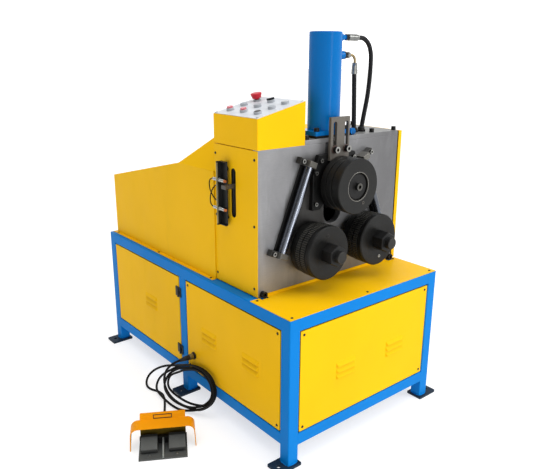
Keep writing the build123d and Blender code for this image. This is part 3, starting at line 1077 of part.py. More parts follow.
TAIL = [(-455, 20, 134), (-459, 58, 121), (-471, 102, 106), (-490, 141, 85), (-511, 166, 62), (-533, 172, 39), (-550, 159, 20), (-557, 135, 9), (-551, 108, 6),
        (-539, 84, 6), (-531, 58, 6), (-533, 28, 6), (-546, -6, 6), (-567, -44, 6), (-591, -84, 6.2), (-617, -125, 9), (-638, -160, 17), (-652, -184, 26),
        fs(0, 202, 30), fs(0, 178, 30)]
RAD_IN, RAD_TAIL = route("lead in", LEAD_IN, CABLE_D), route("tail", TAIL, CABLE_D)
with BuildPart() as cable_in:
    len_in = cable(LEAD_IN, RAD_IN, CABLE_D)
with BuildPart() as cable_tail:
    len_tail = cable(TAIL, RAD_TAIL, CABLE_D)
print("lead in %.0f tail %.0f" % (len_in, len_tail),
      "volume ratios %.3f %.3f" % (cable_in.part.volume / (pi * CABLE_D ** 2 / 4 * len_in), cable_tail.part.volume / (pi * CABLE_D ** 2 / 4 * len_tail)))
foot_cable = group("foot_cable", cable_in, cable_tail)
export_step(foot_cable, "parts/foot_cable.step")

RAD_COIL, RAD_INNER, RAD_OUTER = route("coil", COIL, CABLE_D), route("inner turn", INNER, CABLE_D), route("outer turn", OUTER, CABLE_D)
with BuildPart() as foot_cable_coil:
    len_coil = cable(COIL, RAD_COIL, COIL_D)
    gap = Vector(*COIL[0]) - Vector(*COIL[-1])
    rod(COIL[-1], tuple(gap), COIL_D / 2 - 1, gap.length)
    len_inner = cable(INNER, RAD_INNER, CABLE_D + 1.5)
    len_outer = cable(OUTER, RAD_OUTER, CABLE_D + 1.0)
print("coil turn %.0f inner %.0f outer %.0f solids %d" % (len_coil, len_inner, len_outer, len(foot_cable_coil.part.solids())))
foot_cable_coil.part.label = "foot_cable_coil"
export_step(foot_cable_coil.part, "parts/foot_cable_coil.step")

# ----------------------------------------------------------------------------
# Panel screws: low domed heads
# ----------------------------------------------------------------------------
SCREWS = []
for u in (-PX + 16, PX - 16):
    for z in (PZ0 + 16, PZ1 - 16):
        SCREWS.append(((u, -BASE_Y + REC, z), (0, -1, 0)))
        SCREWS.append(((u, BASE_Y - REC, z), (0, 1, 0)))
for z in (PZ0 + 16, PZ1 - 16):
    for y in (LF0 + 16, LF1 - 16):
        SCREWS.append(((-BASE_X + REC, y, z), (-1, 0, 0)))
        SCREWS.append(((BASE_X - REC, y, z), (1, 0, 0)))
    for y in (RR0 + 16, RR1 - 16):
        SCREWS.append(((BASE_X - REC, y, z), (1, 0, 0)))
for x, y in ((-398, -702), (0, -702), (398, -702), (398, -500), (-398, -500)):
    SCREWS.append(((x, y, FRAME_TOP + SHEET), (0, 0, 1)))
for y, z in ((-215.4, 1142), (-464.4, 1146), (-463, 894), (-216, 894), (-216, 645), (-462, 645)):
    SCREWS.append(((PLATE_X0 - SHEET, y, z), (-1, 0, 0)))
for y in (-420.0, -265.0):
    for z in (700.0, 1100.0):
        SCREWS.append(((RC_X, y, z), (1, 0, 0)))
for y in (-182.0, 255.0, 679.0):
    SCREWS.append(((HOOD_X0 - 9, y, FRAME_TOP + SHEET), (0, 0, 1)))
    SCREWS.append(((HOOD_X1 + 9, y, FRAME_TOP + SHEET), (0, 0, 1)))
for a in (10, PA - 10):
    for b in (10, PB - 10):
        SCREWS.append((on_panel(a, b, 2.0), P_N))
with BuildPart() as panel_screws:
    for p, n in SCREWS:
        ref = (0, 1, 0) if abs(n[1]) < 0.5 else (1, 0, 0)
        turned(p, n, ref, [(0, 0), (5.5, 0), (5.2, 1.2), (4.0, 2.3), (2.0, 2.9), (0, 3.0)])
panel_screws.part.label = "panel_screws"
export_step(panel_screws.part, "parts/panel_screws.step")
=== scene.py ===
import bpy, bmesh, math, random
from mathutils import Vector, Matrix


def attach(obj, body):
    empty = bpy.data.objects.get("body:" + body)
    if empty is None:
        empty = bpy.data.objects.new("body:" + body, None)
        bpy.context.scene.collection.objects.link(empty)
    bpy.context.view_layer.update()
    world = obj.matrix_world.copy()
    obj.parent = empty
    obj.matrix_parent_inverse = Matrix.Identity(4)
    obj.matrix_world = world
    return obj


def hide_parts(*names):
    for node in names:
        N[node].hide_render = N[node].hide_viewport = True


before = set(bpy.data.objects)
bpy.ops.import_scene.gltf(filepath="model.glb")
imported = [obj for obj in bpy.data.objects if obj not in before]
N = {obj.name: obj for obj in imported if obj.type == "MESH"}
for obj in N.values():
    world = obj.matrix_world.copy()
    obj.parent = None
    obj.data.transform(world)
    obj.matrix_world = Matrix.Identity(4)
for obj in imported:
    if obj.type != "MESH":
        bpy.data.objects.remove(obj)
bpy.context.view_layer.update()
S = bpy.context.scene
MM = 0.001

# ---------------------------------------------------------------- camera
right = Vector((0.76990346, -0.63812452, 0.00676419))
up = Vector((0.1781021, 0.22503613, 0.95793444))
back = Vector((-0.61280364, -0.73631232, 0.28690741))
cam_data = bpy.data.cameras.new("Camera")
cam_data.sensor_fit = "HORIZONTAL"
cam_data.sensor_width = 36.0
cam_data.lens = 40.05
cam = bpy.data.objects.new("Camera", cam_data)
cam.matrix_world = Matrix((
    (right.x, up.x, back.x, -1.73071),
    (right.y, up.y, back.y, -2.20498),
    (right.z, up.z, back.z, 1.52501),
    (0, 0, 0, 1)))
S.collection.objects.link(cam)
S.camera = cam
S.view_settings.view_transform = "Standard"
S.view_settings.look = "None"


# ---------------------------------------------------------------- small tools for materials
def lin(hexa):
    """Linear colour of a hex sRGB value."""
    out = []
    for i in (0, 2, 4):
        c = int(hexa[i:i + 2], 16) / 255
        out.append(c / 12.92 if c <= 0.04045 else ((c + 0.055) / 1.055) ** 2.4)
    return (*out, 1.0)


def tint(col, k):
    return (min(col[0] * k, 1), min(col[1] * k, 1), min(col[2] * k, 1), 1.0)


def new_mat(name):
    m = bpy.data.materials.new(name)
    m.use_nodes = True
    t = m.node_tree
    t.nodes.clear()
    out = t.nodes.new("ShaderNodeOutputMaterial")
    b = t.nodes.new("ShaderNodeBsdfPrincipled")
    t.links.new(b.outputs[0], out.inputs[0])
    return m, t, b


def nd(t, kind, ins=None, **props):
    n = t.nodes.new(kind)
    for k, v in props.items():
        setattr(n, k, v)
    for k, v in (ins or {}).items():
        s = n.inputs[k]
        if isinstance(v, bpy.types.NodeSocket):
            t.links.new(v, s)
        else:
            s.default_value = v
    return n


def obj_co(t):
    return nd(t, "ShaderNodeTexCoord").outputs["Object"]


def scaled(t, vec, s):
    return nd(t, "ShaderNodeVectorMath", {0: vec, 1: s}, operation="MULTIPLY").outputs[0]


def noise(t, vec, scale, detail=3.0, rough=0.5, dist=0.0):
    return nd(t, "ShaderNodeTexNoise", {"Vector": vec, "Scale": scale, "Detail": detail, "Roughness": rough, "Distortion": dist}).outputs[0]


def remap(t, v, a, b, c, d, smooth=False):
    return nd(t, "ShaderNodeMapRange", {0: v, 1: a, 2: b, 3: c, 4: d}, interpolation_type="SMOOTHSTEP" if smooth else "LINEAR").outputs[0]


def calc(t, op, a, b=0.0, clamp=False):
    return nd(t, "ShaderNodeMath", {0: a, 1: b}, operation=op, use_clamp=clamp).outputs[0]


def mixc(t, f, a, b, blend="MIX"):
    n = nd(t, "ShaderNodeMix", data_type="RGBA", blend_type=blend)
    for i, v in ((0, f), (6, a), (7, b)):
        if isinstance(v, bpy.types.NodeSocket):
            t.links.new(v, n.inputs[i])
        else:
            n.inputs[i].default_value = v
    return n.outputs[2]


def bump(t, height, strength, dist, normal=None):
    ins = {"Height": height, "Strength": strength, "Distance": dist}
    if normal is not None:
        ins["Normal"] = normal
    return nd(t, "ShaderNodeBump", ins).outputs[0]


def soft_edge(t, radius):
    return nd(t, "ShaderNodeBevel", {"Radius": radius}, samples=4).outputs[0]


def edge_mask(t, radius, lo=0.02, hi=0.25):
    """1 along edges, 0 on flats."""
    g = nd(t, "ShaderNodeNewGeometry").outputs["Normal"]
    d = nd(t, "ShaderNodeVectorMath", {0: soft_edge(t, radius), 1: g}, operation="DOT_PRODUCT").outputs[1]
    return remap(t, calc(t, "SUBTRACT", 1.0, d), lo, hi, 0, 1, True)


def put(t, b, **kw):
    for k, v in kw.items():
        s = b.inputs[k.replace("_", " ")]
        if isinstance(v, bpy.types.NodeSocket):
            t.links.new(v, s)
        else:
            s.default_value = v


# ---------------------------------------------------------------- materials
def paint(name, col, rough=0.42, peel=0.2, chip=lin("5a5650"), worn=0.2, dust=lin("a89a78"), grime=0.08, edge=0.0012, spec=0.12):
    """Powder coat: orange peel, slight colour drift, a little grime, small chips on the edges."""
    m, t, b = new_mat(name)
    co = obj_co(t)
    drift = noise(t, co, 2.2, 4)
    c = mixc(t, remap(t, drift, 0.3, 0.7, 0, 1), tint(col, 0.95), tint(col, 1.04))
    smear = noise(t, scaled(t, co, (3, 3, 1)), 5.0, 6, 0.62, 0.6)
    c = mixc(t, calc(t, "MULTIPLY", remap(t, smear, 0.55, 0.8, 0, 1, True), grime), c, dust)
    fine = noise(t, co, 60, 4, 0.65)
    chips = calc(t, "MULTIPLY", edge_mask(t, edge * 1.5), remap(t, fine, 0.55, 0.64, 0, worn, True))
    c = mixc(t, chips, c, chip)
    peel_h = noise(t, co, 420, 2, 0.5)
    put(t, b, Base_Color=c, Roughness=remap(t, smear, 0.3, 0.75, rough - 0.05, rough + 0.10),
        Normal=bump(t, peel_h, peel, 0.0004, soft_edge(t, edge)))
    b.inputs["Specular IOR Level"].default_value = spec
    return m


YELLOW = paint("yellow_powder_coat", (0.86, 0.485, 0.003, 1), dust=lin("9a8038"), spec=0.05)
BLUE = paint("blue_frame_paint", (0.002, 0.186, 0.575, 1), 0.38, chip=lin("18242e"), dust=lin("4f6c84"), grime=0.04, edge=0.0007, spec=0.05)
CYLBLUE = paint("blue_cylinder_paint", (0.0012, 0.136, 0.43, 1), 0.17, peel=0.05, chip=lin("18242e"), dust=lin("2c4c64"), grime=0.04, spec=0.09)
FOOTPAINT = paint("foot_plate_paint", lin("1c2c3c"), 0.5, chip=lin("6c6f72"), worn=0.5, dust=lin("5d6670"), grime=0.25)
ORANGE = paint("orange_guard_paint", (0.82, 0.31, 0.004, 1), 0.34, peel=0.12, dust=lin("a07828"), spec=0.05)
# Orange guard paint darkened as painted shade for the inside faces of the guard.
SHADED_ORANGE = paint("guard_inside_painted_shade", lin("5a4a14"), 0.5, peel=0.12, dust=lin("4a4228"), grime=0.2, spec=0.05)
WHITE = paint("white_panel_enamel", lin("d2d6db"), 0.42, peel=0.08, chip=lin("9a9a98"), dust=lin("c2c3c2"), grime=0.06, spec=0.25)


def steel(name, col, rough=0.42, metal=0.9, grain=(1.0, 1.0, 30.0), grain_scale=40.0, depth=0.25, blot=0.3, dark=0.75, edge=0.0012, tarnish=lin("6b5f4c"), shade_ramp=None, roll_shadow=0.0):
    """Ground or rolled steel: grinding grain, blotchy oil film and paler edges. The optional ramp darkens it towards +X
    as painted shade;
    the optional depth paints the shadow that the upper roll and the guide rod cast on the plate beside the left guide
    rod."""
    m, t, b = new_mat(name)
    co = obj_co(t)
    lines = noise(t, scaled(t, co, grain), grain_scale, 5, 0.7)
    cloud = noise(t, co, 3.4, 5, 0.62, 0.8)
    wipes = noise(t, scaled(t, co, (2.2, 2.2, 0.5)), 7.0, 5, 0.6, 1.2)
    c = mixc(t, remap(t, cloud, 0.3, 0.72, 0, 1), tint(col, dark), col)
    c = mixc(t, calc(t, "MULTIPLY", remap(t, wipes, 0.45, 0.75, 0, 1, True), blot), c, tint(col, 1.2))
    c = mixc(t, calc(t, "MULTIPLY", remap(t, lines, 0.35, 0.7, 0, 1), 0.2), c, tint(col, 0.65))
    spots = noise(t, co, 24, 6, 0.7)
    c = mixc(t, calc(t, "MULTIPLY", remap(t, spots, 0.62, 0.78, 0, 1, True), 0.22), c, tarnish)
    # Painted shade: the plate darkens towards +X.
    if shade_ramp:
        x = calc(t, "ADD", nd(t, "ShaderNodeSeparateXYZ", {0: co}).outputs[0], remap(t, cloud, 0.3, 0.7, -0.06, 0.06))
        c = mixc(t, remap(t, x, shade_ramp[0], shade_ramp[1], 0, 1, True), c, (shade_ramp[2], shade_ramp[2], shade_ramp[2], 1), "MULTIPLY")
    # Painted shadow of the upper roll and the left guide rod on the plate, in the band beside the rod.
    if roll_shadow:
        px, _, pz = nd(t, "ShaderNodeSeparateXYZ", {0: co}).outputs
        rag = remap(t, wipes, 0.25, 0.75, -0.02, 0.02)
        across = calc(t, "ADD", calc(t, "ADD", calc(t, "MULTIPLY", px, 0.9239), calc(t, "MULTIPLY", pz, -0.3827)), rag)
        shadow_zone = calc(t, "MULTIPLY", remap(t, across, -0.6134, -0.5750, 0, 1, True), remap(t, px, -0.055, 0.0, 1, 0, True))
        shadow_zone = calc(t, "MULTIPLY", shadow_zone, calc(t, "MULTIPLY", remap(t, pz, 1.110, 1.165, 1, 0, True), remap(t, pz, 0.78, 0.86, 0, 1, True)))
        c = mixc(t, calc(t, "MULTIPLY", shadow_zone, roll_shadow), c, lin("2f2d29"))
    c = mixc(t, calc(t, "MULTIPLY", edge_mask(t, edge * 1.5), 0.4), c, tint(col, 1.4))
    r = calc(t, "ADD", remap(t, cloud, 0.25, 0.75, rough - 0.08, rough + 0.12), remap(t, lines, 0.3, 0.7, -0.06, 0.06))
    put(t, b, Base_Color=c, Roughness=r, Metallic=metal, Normal=bump(t, lines, depth, 0.0003, soft_edge(t, edge)))
    return m


# The front plate carries painted shade towards +X and a painted shadow beside the left guide rod.
PLATE = steel("ground_plate_steel", lin("9c9c9e"), 0.44, 0.75, (1.0, 1.0, 22.0), 34.0, blot=0.45, dark=0.7, shade_ramp=(-0.08, 0.34, 0.58), roll_shadow=0.86)
DECK = steel("top_plate_steel", lin("8a8a88"), 0.5, 0.5, (16.0, 1.0, 1.0), 30.0, dark=0.75)
INNER = steel("inner_plate_steel", lin("6c6d6f"), 0.55, 0.7)
SHAFTSTEEL = steel("turned_steel", lin("8f9090"), 0.32, 0.95, (1, 40, 1), 20.0, depth=0.12)
DARKSTEEL = steel("dark_rolled_steel", lin("5a5651"), 0.5, 0.55, (1, 1, 8), 24.0, depth=0.2, tarnish=lin("4a4036"))
SLOTSTEEL = steel("slotted_plate_steel", lin("6b665f"), 0.48, 0.5, (1, 1, 8), 24.0, depth=0.2, tarnish=lin("574a3e"))
WASHER = steel("browned_washer", lin("5b4740"), 0.45, 0.5, (6, 6, 6), 30.0, depth=0.1, tarnish=lin("3c2c27"))
BOLTSTEEL = steel("bolt_steel", lin("a3a39f"), 0.3, 0.95, (6, 6, 6), 30.0, depth=0.1, tarnish=lin("3c3a37"))
BLOCKSTEEL = steel("rod_block_steel", lin("77756f"), 0.42, 0.6, (1, 1, 10), 30.0, depth=0.15)
ZINC = steel("zinc_plate", lin("b0b4b4"), 0.38, 0.85, (6, 6, 6), 10.0, depth=0.05, tarnish=lin("a9a48f"))
RING = steel("worn_bright_ring", lin("7d7b76"), 0.4, 0.7, (6, 6, 6), 20.0, depth=0.05)
CAPSCREW = steel("worn_cap_screw", lin("575652"), 0.38, 0.7, (6, 6, 6), 30.0, depth=0.1, tarnish=lin("3c3a37"))
BRACKET = steel("bracket_steel", lin("3f3e3b"), 0.45, 0.5, (1, 1, 10), 30.0, depth=0.15, tarnish=lin("2c2a28"))
CASTGREY = paint("grey_machine_enamel", lin("5b6670"), 0.45, peel=0.5, grime=0.2)


def turned_black(name, centre, col=lin("171716"), rough=0.45, rings=900.0):
    """Oiled black tool steel turned about a Y axis: fine rings on the faces, worn corners."""
    m, t, b = new_mat(name)
    co = obj_co(t)
    rel = nd(t, "ShaderNodeVectorMath", {0: co, 1: (centre[0], 0, centre[1])}, operation="SUBTRACT").outputs[0]
    sep = nd(t, "ShaderNodeSeparateXYZ", {0: rel})
    x, y, z = sep.outputs
    rad = calc(t, "SQRT", calc(t, "ADD", calc(t, "MULTIPLY", x, x), calc(t, "MULTIPLY", z, z)))
    wob = noise(t, rel, 30, 3)
    ring = calc(t, "SINE", calc(t, "MULTIPLY", calc(t, "ADD", calc(t, "ADD", rad, y), calc(t, "MULTIPLY", wob, 0.002)), rings))
    cloud = noise(t, rel, 14, 5, 0.65, 0.5)
    ang = nd(t, "ShaderNodeMath", {0: z, 1: x}, operation="ARCTAN2").outputs[0]
    streak = noise(t, nd(t, "ShaderNodeCombineXYZ", {0: calc(t, "MULTIPLY", ang, 2.0), 1: calc(t, "MULTIPLY", rad, 140.0), 2: calc(t, "MULTIPLY", y, 140.0)}).outputs[0], 2.0, 4, 0.6)
    c = mixc(t, remap(t, cloud, 0.3, 0.72, 0, 1), tint(col, 0.75), tint(col, 1.25))
    c = mixc(t, calc(t, "MULTIPLY", remap(t, streak, 0.5, 0.75, 0, 1, True), 0.4), c, tint(col, 1.9))
    e = edge_mask(t, 0.0014)
    c = mixc(t, calc(t, "MULTIPLY", e, remap(t, cloud, 0.35, 0.6, 0.1, 0.5)), c, lin("55544f"))
    put(t, b, Base_Color=c, Metallic=0.25, Roughness=remap(t, streak, 0.3, 0.7, rough - 0.1, rough + 0.1),
        Normal=bump(t, ring, 0.12, 0.0002, soft_edge(t, 0.001)))
    b.inputs["Specular IOR Level"].default_value = 0.3
    return m


ROLL_L = turned_black("black_roll_left", (-0.137, 0.779), lin("121211"))
ROLL_R = turned_black("black_roll_right", (0.151, 0.779), lin("121211"))
ROLL_U = turned_black("black_roll_upper", (0.007, 1.023))


def black_steel(name, col=lin("151515"), rough=0.45, metal=0.3, wear=lin("5c5b57"), spec=0.3, edge=0.0014):
    """Black oxide: cloudy oil film, fine grain and bare corners."""
    m, t, b = new_mat(name)
    co = obj_co(t)
    cloud = noise(t, co, 22, 6, 0.65, 0.4)
    fine = noise(t, scaled(t, co, (1, 1, 6)), 90, 3, 0.6)
    c = mixc(t, remap(t, cloud, 0.3, 0.7, 0, 1), tint(col, 0.65), tint(col, 1.3))
    c = mixc(t, calc(t, "MULTIPLY", edge_mask(t, edge), remap(t, cloud, 0.4, 0.65, 0.15, 0.6)), c, wear)
    put(t, b, Base_Color=c, Metallic=metal, Roughness=remap(t, cloud, 0.3, 0.7, rough - 0.1, rough + 0.12),
        Normal=bump(t, fine, 0.15, 0.0003, soft_edge(t, edge * 0.7)))
    b.inputs["Specular IOR Level"].default_value = spec
    return m


BLACK = black_steel("black_oxide_steel")
SCREWBLACK = black_steel("screw_black", lin("121212"), 0.36, 0.4, wear=lin("8a8984"))
SHAFTEND = black_steel("shaft_end_steel", lin("2e2d2b"), 0.4, 0.6, wear=lin("7a7975"))
TIPSTEEL = black_steel("worn_tooth_tips", lin("484743"), 0.42, 0.4, wear=lin("6a6964"))
RAILEDGE = black_steel("bare_rail_edge", lin("8a8466"), 0.42, 0.3, wear=lin("b0a888"))
RAILBLACK = black_steel("black_rail_paint", lin("131514"), 0.42, 0.0, wear=lin("6f6f66"), spec=0.35)


def chrome(name, col=lin("d6d8da"), rough=0.1, film_tone=0.82, depth=0.012, edge=0.0006):
    """Plated metal with a thin film of oil and hairline scratches."""
    m, t, b = new_mat(name)
    co = obj_co(t)
    film = noise(t, co, 18, 5, 0.6, 0.8)
    scratch = noise(t, scaled(t, co, (3, 3, 0.25)), 120, 3, 0.6)
    c = mixc(t, remap(t, film, 0.35, 0.75, 0, 1), col, tint(col, film_tone))
    put(t, b, Base_Color=c, Metallic=1.0, Roughness=remap(t, film, 0.3, 0.75, rough - 0.04, rough + 0.1),
        Normal=bump(t, scratch, depth, 0.0002, soft_edge(t, edge) if edge else None))
    return m


CHROME = chrome("hard_chrome", lin("9095a0"), 0.22, 0.95, 0.0006, 0)
# Darker copy of the hard chrome, as painted shade on the right guide rod.
SHADED_CHROME = chrome("shaded_chrome", lin("62666d"), 0.24, 0.85, 0.0006, 0)
NICKEL = chrome("nickel_fitting", lin("8f908d"), 0.3)
PLATED = chrome("plated_sensor_body", lin("b9bab8"), 0.25)
BRASS = chrome("brass_elbow", lin("9c8a66"), 0.3)


def plastic(name, col, rough=0.42, speck=0.12, scale=300.0, worn=0.2, spec=0.3):
    """Moulded plastic or rubber: fine grain, slightly paler corners."""
    m, t, b = new_mat(name)
    co = obj_co(t)
    cloud = noise(t, co, 30, 4, 0.6)
    grain = noise(t, co, scale, 2, 0.5)
    c = mixc(t, remap(t, cloud, 0.3, 0.7, 0, 1), tint(col, 0.9), tint(col, 1.07))
    c = mixc(t, calc(t, "MULTIPLY", edge_mask(t, 0.0010), worn), c, tint(col, 1.5))
    put(t, b, Base_Color=c, Roughness=remap(t, cloud, 0.3, 0.7, rough - 0.06, rough + 0.1),
        Normal=bump(t, grain, speck, 0.0003, soft_edge(t, 0.0005)))
    b.inputs["Specular IOR Level"].default_value = spec
    return m


RUBBER = plastic("black_cable_rubber", lin("0b0b0a"), 0.5, 0.2, 500, spec=0.16)
DARKPL = plastic("dark_plastic", lin("1c1c1c"), 0.4)
KNOBPL = plastic("selector_plastic", lin("12161d"), 0.36)
UNITPL = plastic("switchgear_plastic", lin("3b3e42"), 0.45)
DUCTPL = plastic("cable_duct_plastic", lin("8b9094"), 0.5)
GREYPL = plastic("grey_button_plastic", lin("aab0b6"), 0.42)
PALEPL = plastic("pale_button_plastic", lin("c3c6c8"), 0.4)
COLLARS = plastic("button_bezel", lin("abafb4"), 0.32, 0.05, spec=0.4)
REDPL = plastic("red_button_plastic", lin("c8122c"), 0.3, 0.05, spec=0.4)
REDLENS = plastic("red_lens_plastic", lin("d4737c"), 0.25, 0.05, spec=0.4)
BASEPL = plastic("foot_base_plastic", lin("484a49"), 0.5, 0.3, 220)
PEDALPL = plastic("pedal_casting", lin("2c2d2c"), 0.5, 0.35, 260)
TREAD = plastic("pedal_tread_rubber", lin("565856"), 0.6, 0.35, 320)
PALEMETAL = steel("pale_divider", lin("8d918e"), 0.45, 0.3)
TIP = plastic("orange_sensor_tip", lin("b96a38"), 0.35)


def hose_cover(name):
    """Woven rubber hose cover."""
    m, t, b = new_mat(name)
    co = obj_co(t)
    w1 = nd(t, "ShaderNodeTexWave", {"Vector": co, "Scale": 170.0, "Distortion": 0.6, "Detail": 1.0}, wave_type="BANDS", bands_direction="DIAGONAL").outputs[1]
    cloud = noise(t, co, 40, 4, 0.6)
    c = mixc(t, remap(t, cloud, 0.3, 0.7, 0, 1), lin("0b0b0e"), lin("151518"))
    c = mixc(t, calc(t, "MULTIPLY", w1, 0.25), c, lin("202023"))
    put(t, b, Base_Color=c, Roughness=remap(t, cloud, 0.3, 0.7, 0.42, 0.62), Normal=bump(t, w1, 0.35, 0.0004))
    b.inputs["Specular IOR Level"].default_value = 0.2
    return m


HOSE = hose_cover("woven_hose_cover")

# ---------------------------------------------------------------- foot switch cable, one length from socket to switch
FS_O = Vector((-761.8, -371.2, 0.0))
FS_U, FS_V = Vector((0.8634, -0.5045, 0.0)), Vector((0.5045, 0.8634, 0.0))


def fs(u, v, w):
    return FS_O + FS_U * u + FS_V * v + Vector((0, 0, w))


LEAD_IN = [(-495, -70, 212), (-513, -71, 212), (-531, -69.5, 208), (-545, -63, 197), (-554, -54, 181), (-558, -45, 160), (-560, -38, 136), (-559, -34, 111),
           (-556, -37, 86), (-551, -48, 63), (-545, -68, 46), (-538, -95, 35)]
COIL = [(-452, 16, 130), (-463, 44, 112), (-480, 66, 91), (-499, 70, 68), (-516, 60, 47), (-529, 36, 33), (-537, 0, 27), (-541, -44, 21),
        (-534, -94, 16), (-518, -143, 17), (-500, -190, 27), (-480, -231, 48), (-460, -255, 76), (-446, -261, 107), (-441, -250, 140),
        (-441, -230, 168), (-441, -192, 182), (-441, -130, 180), (-443, -72, 166), (-447, -30, 149)]
TURN_IN = [(-455, -36, 138), (-464, -7, 118), (-471, 21, 101), (-477, 41, 88), (-483, 53, 73), (-490, 55, 56), (-497, 46, 42), (-503, 27, 34),
           (-506, 0, 31), (-507, -30, 29.5), (-506, -64, 29.5), (-503, -108, 31), (-495, -162, 36)]
TURN_OUT = [(-489, 76, 87), (-501, 92, 70), (-513, 100, 52), (-525, 98, 36), (-536, 86, 24), (-545, 63, 18.3), (-551, 24, 18.5), (-556, -30, 18.4),
            (-550, -88, 11), (-534, -138, 8)]
TAIL = [(-459, 58, 121), (-471, 102, 106), (-490, 141, 85), (-511, 166, 62), (-533, 172, 39), (-550, 159, 20), (-557, 135, 9), (-551, 108, 6),
        (-539, 84, 6), (-531, 58, 6), (-533, 28, 6), (-546, -6, 6), (-567, -44, 6), (-591, -84, 6.2), (-617, -125, 9), (-638, -160, 17), (-652, -184, 26)]
MIDDLE = sum((Vector(p) for p in COIL), Vector()) / len(COIL)


def strand(i, out, side):
    """A coil point moved within the bundle: outwards, and across it."""
    n = len(COIL)
    p = Vector(COIL[i % n])
    along = (Vector(COIL[(i + 1) % n]) - Vector(COIL[(i - 1) % n])).normalized()
    o = p - MIDDLE
    o = (o - along * o.dot(along)).normalized()
    return p + o * out + along.cross(o) * side


K = 5.7
ROUTE = [Vector(p) for p in LEAD_IN]
ROUTE += [strand(i, -K, -K) for i in range(9, 18)]
ROUTE += [Vector(p) for p in TURN_IN]
ROUTE += [strand(i, -K, K) for i in range(11, 20)] + [strand(i, -K, K) for i in range(0, 9)]
ROUTE += [strand(i, K, K) for i in range(10, 20)] + [strand(i, K, K) for i in range(0, 2)]
ROUTE += [Vector(p) for p in TURN_OUT]
ROUTE += [strand(i, K, -K) for i in range(10, 20)] + [strand(0, K, -K)]
ROUTE += [Vector(p) for p in TAIL] + [fs(0, 202, 30), fs(0, 178, 30)]
CABLE_D, CABLE_LEN = 10.5, 4.0


def tube(name, pts, dia, mat, res=5):
    cu = bpy.data.curves.new(name, "CURVE")
    cu.dimensions = "3D"
    sp = cu.splines.new("NURBS")
    sp.points.add(len(pts) - 1)
    for q, p in zip(sp.points, pts):
        q.co = (p[0] * MM, p[1] * MM, p[2] * MM, 1.0)
    sp.order_u = 3
    sp.use_endpoint_u = True
    sp.resolution_u = 8
    cu.bevel_depth = dia * MM / 2
    cu.bevel_resolution = res
    cu.use_fill_caps = True
    cu.materials.append(mat)
    o = bpy.data.objects.new(name, cu)
    S.collection.objects.link(o)
    return o


cable = tube("foot_switch_cable", ROUTE, CABLE_D, RUBBER)
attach(cable, "machine")
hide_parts("foot_cable", "foot_cable_coil")


# ---------------------------------------------------------------- mesh building (millimetres)
class Shape:
    def __init__(self):
        self.v, self.f, self.m = [], [], []

    def grid(self, rows, wrap=True, loop=False, mi=0, tone=None):
        """Skin rows of points; wrap closes each row, loop joins the last row to the first."""
        base, n = len(self.v), len(rows[0])
        for r in rows:
            self.v += [tuple(p) for p in r]
        for j in range(len(rows) if loop else len(rows) - 1):
            k = (j + 1) % len(rows)
            for i in range(n if wrap else n - 1):
                q = (i + 1) % n
                self.f.append((base + j * n + i, base + j * n + q, base + k * n + q, base + k * n + i))
                self.m.append(tone(j, i) if tone else mi)

    def turned(self, pts, origin, axis, ref, seg=48, loop=False, mi=0, form=None, tone=None):
        """Revolve (radius, height) points; form(i, k, r) may change the radius of point k at step i."""
        o, a, r = Vector(origin), Vector(axis).normalized(), Vector(ref).normalized()
        s = a.cross(r)
        rows = []
        for k, (rad, h) in enumerate(pts):
            row = []
            for i in range(seg):
                t = 2 * math.pi * i / seg
                rr = form(i, k, rad) if form else rad
                row.append(o + a * h + (r * math.cos(t) + s * math.sin(t)) * rr)
            rows.append(row)
        self.grid(rows, True, loop, mi, tone)

    def make(self, name, mats, body, angle=35.0, replaces=()):
        bm = bmesh.new()
        vs = [bm.verts.new((p[0] * MM, p[1] * MM, p[2] * MM)) for p in self.v]
        for f, mi in zip(self.f, self.m):
            face = bm.faces.new([vs[i] for i in f])
            face.material_index = mi
        bmesh.ops.remove_doubles(bm, verts=bm.verts, dist=2e-6)
        bmesh.ops.dissolve_degenerate(bm, edges=bm.edges, dist=1e-7)
        bmesh.ops.recalc_face_normals(bm, faces=bm.faces)
        me = bpy.data.meshes.new(name)
        bm.to_mesh(me)
        bm.free()
        me.shade_smooth()
        me.set_sharp_from_angle(angle=math.radians(angle))
        for m in (mats if isinstance(mats, (list, tuple)) else [mats]):
            me.materials.append(m)
        o = bpy.data.objects.new(name, me)
        S.collection.objects.link(o)
        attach(o, body)
        if replaces:
            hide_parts(*replaces)
        return o


X, Y, Z = Vector((1, 0, 0)), Vector((0, 1, 0)), Vector((0, 0, 1))

# ---------------------------------------------------------------- lower rolls with milled teeth on two bands
LOWER = [(35, -506), (101, -506), (104, -509), (104, -533), (98, -535), (98, -539), (107, -541), (107, -562), (101, -564), (101, -567),
         (108, -569), (108, -592), (103, -594), (103, -597), (108, -598), (108, -612), (104, -616), (62, -616), (60, -615.2), (35, -615.2)]
TOOTHED = {6, 7, 10, 11}
PIN = [(0, 1.0), (3.2, 1.0), (3.2, -0.9), (3.9, -1.5), (6.0, -1.5), (6.6, -0.9), (6.6, 1.0)]


def teeth(i, k, r):
    return r - 3.0 if k in TOOTHED and i % 6 in (0, 1) else r


def tooth_tips(j, i):
    """Worn steel on the tooth tips, black elsewhere."""
    return 2 if j in (6, 10) and i % 6 in (2, 3, 4) else 0



for side, x, mat, ang, pin in (("left", -137.0, ROLL_L, 96.0, SHAFTEND), ("right", 151.0, ROLL_R, -84.0, BOLTSTEEL)):
    roll = Shape()
    roll.turned(LOWER, (x, 0, 779), Y, Z, 76 * 6, loop=True, form=teeth, tone=tooth_tips)
    a = math.radians(ang)
    roll.turned(PIN, (x + 72 * math.cos(a), -616, 779 + 72 * math.sin(a)), Y, Z, 24, mi=1)
    roll.make("toothed_roll_" + side, [mat, pin, TIPSTEEL], "lower_" + side, 28, ("lower_roll_" + side,))

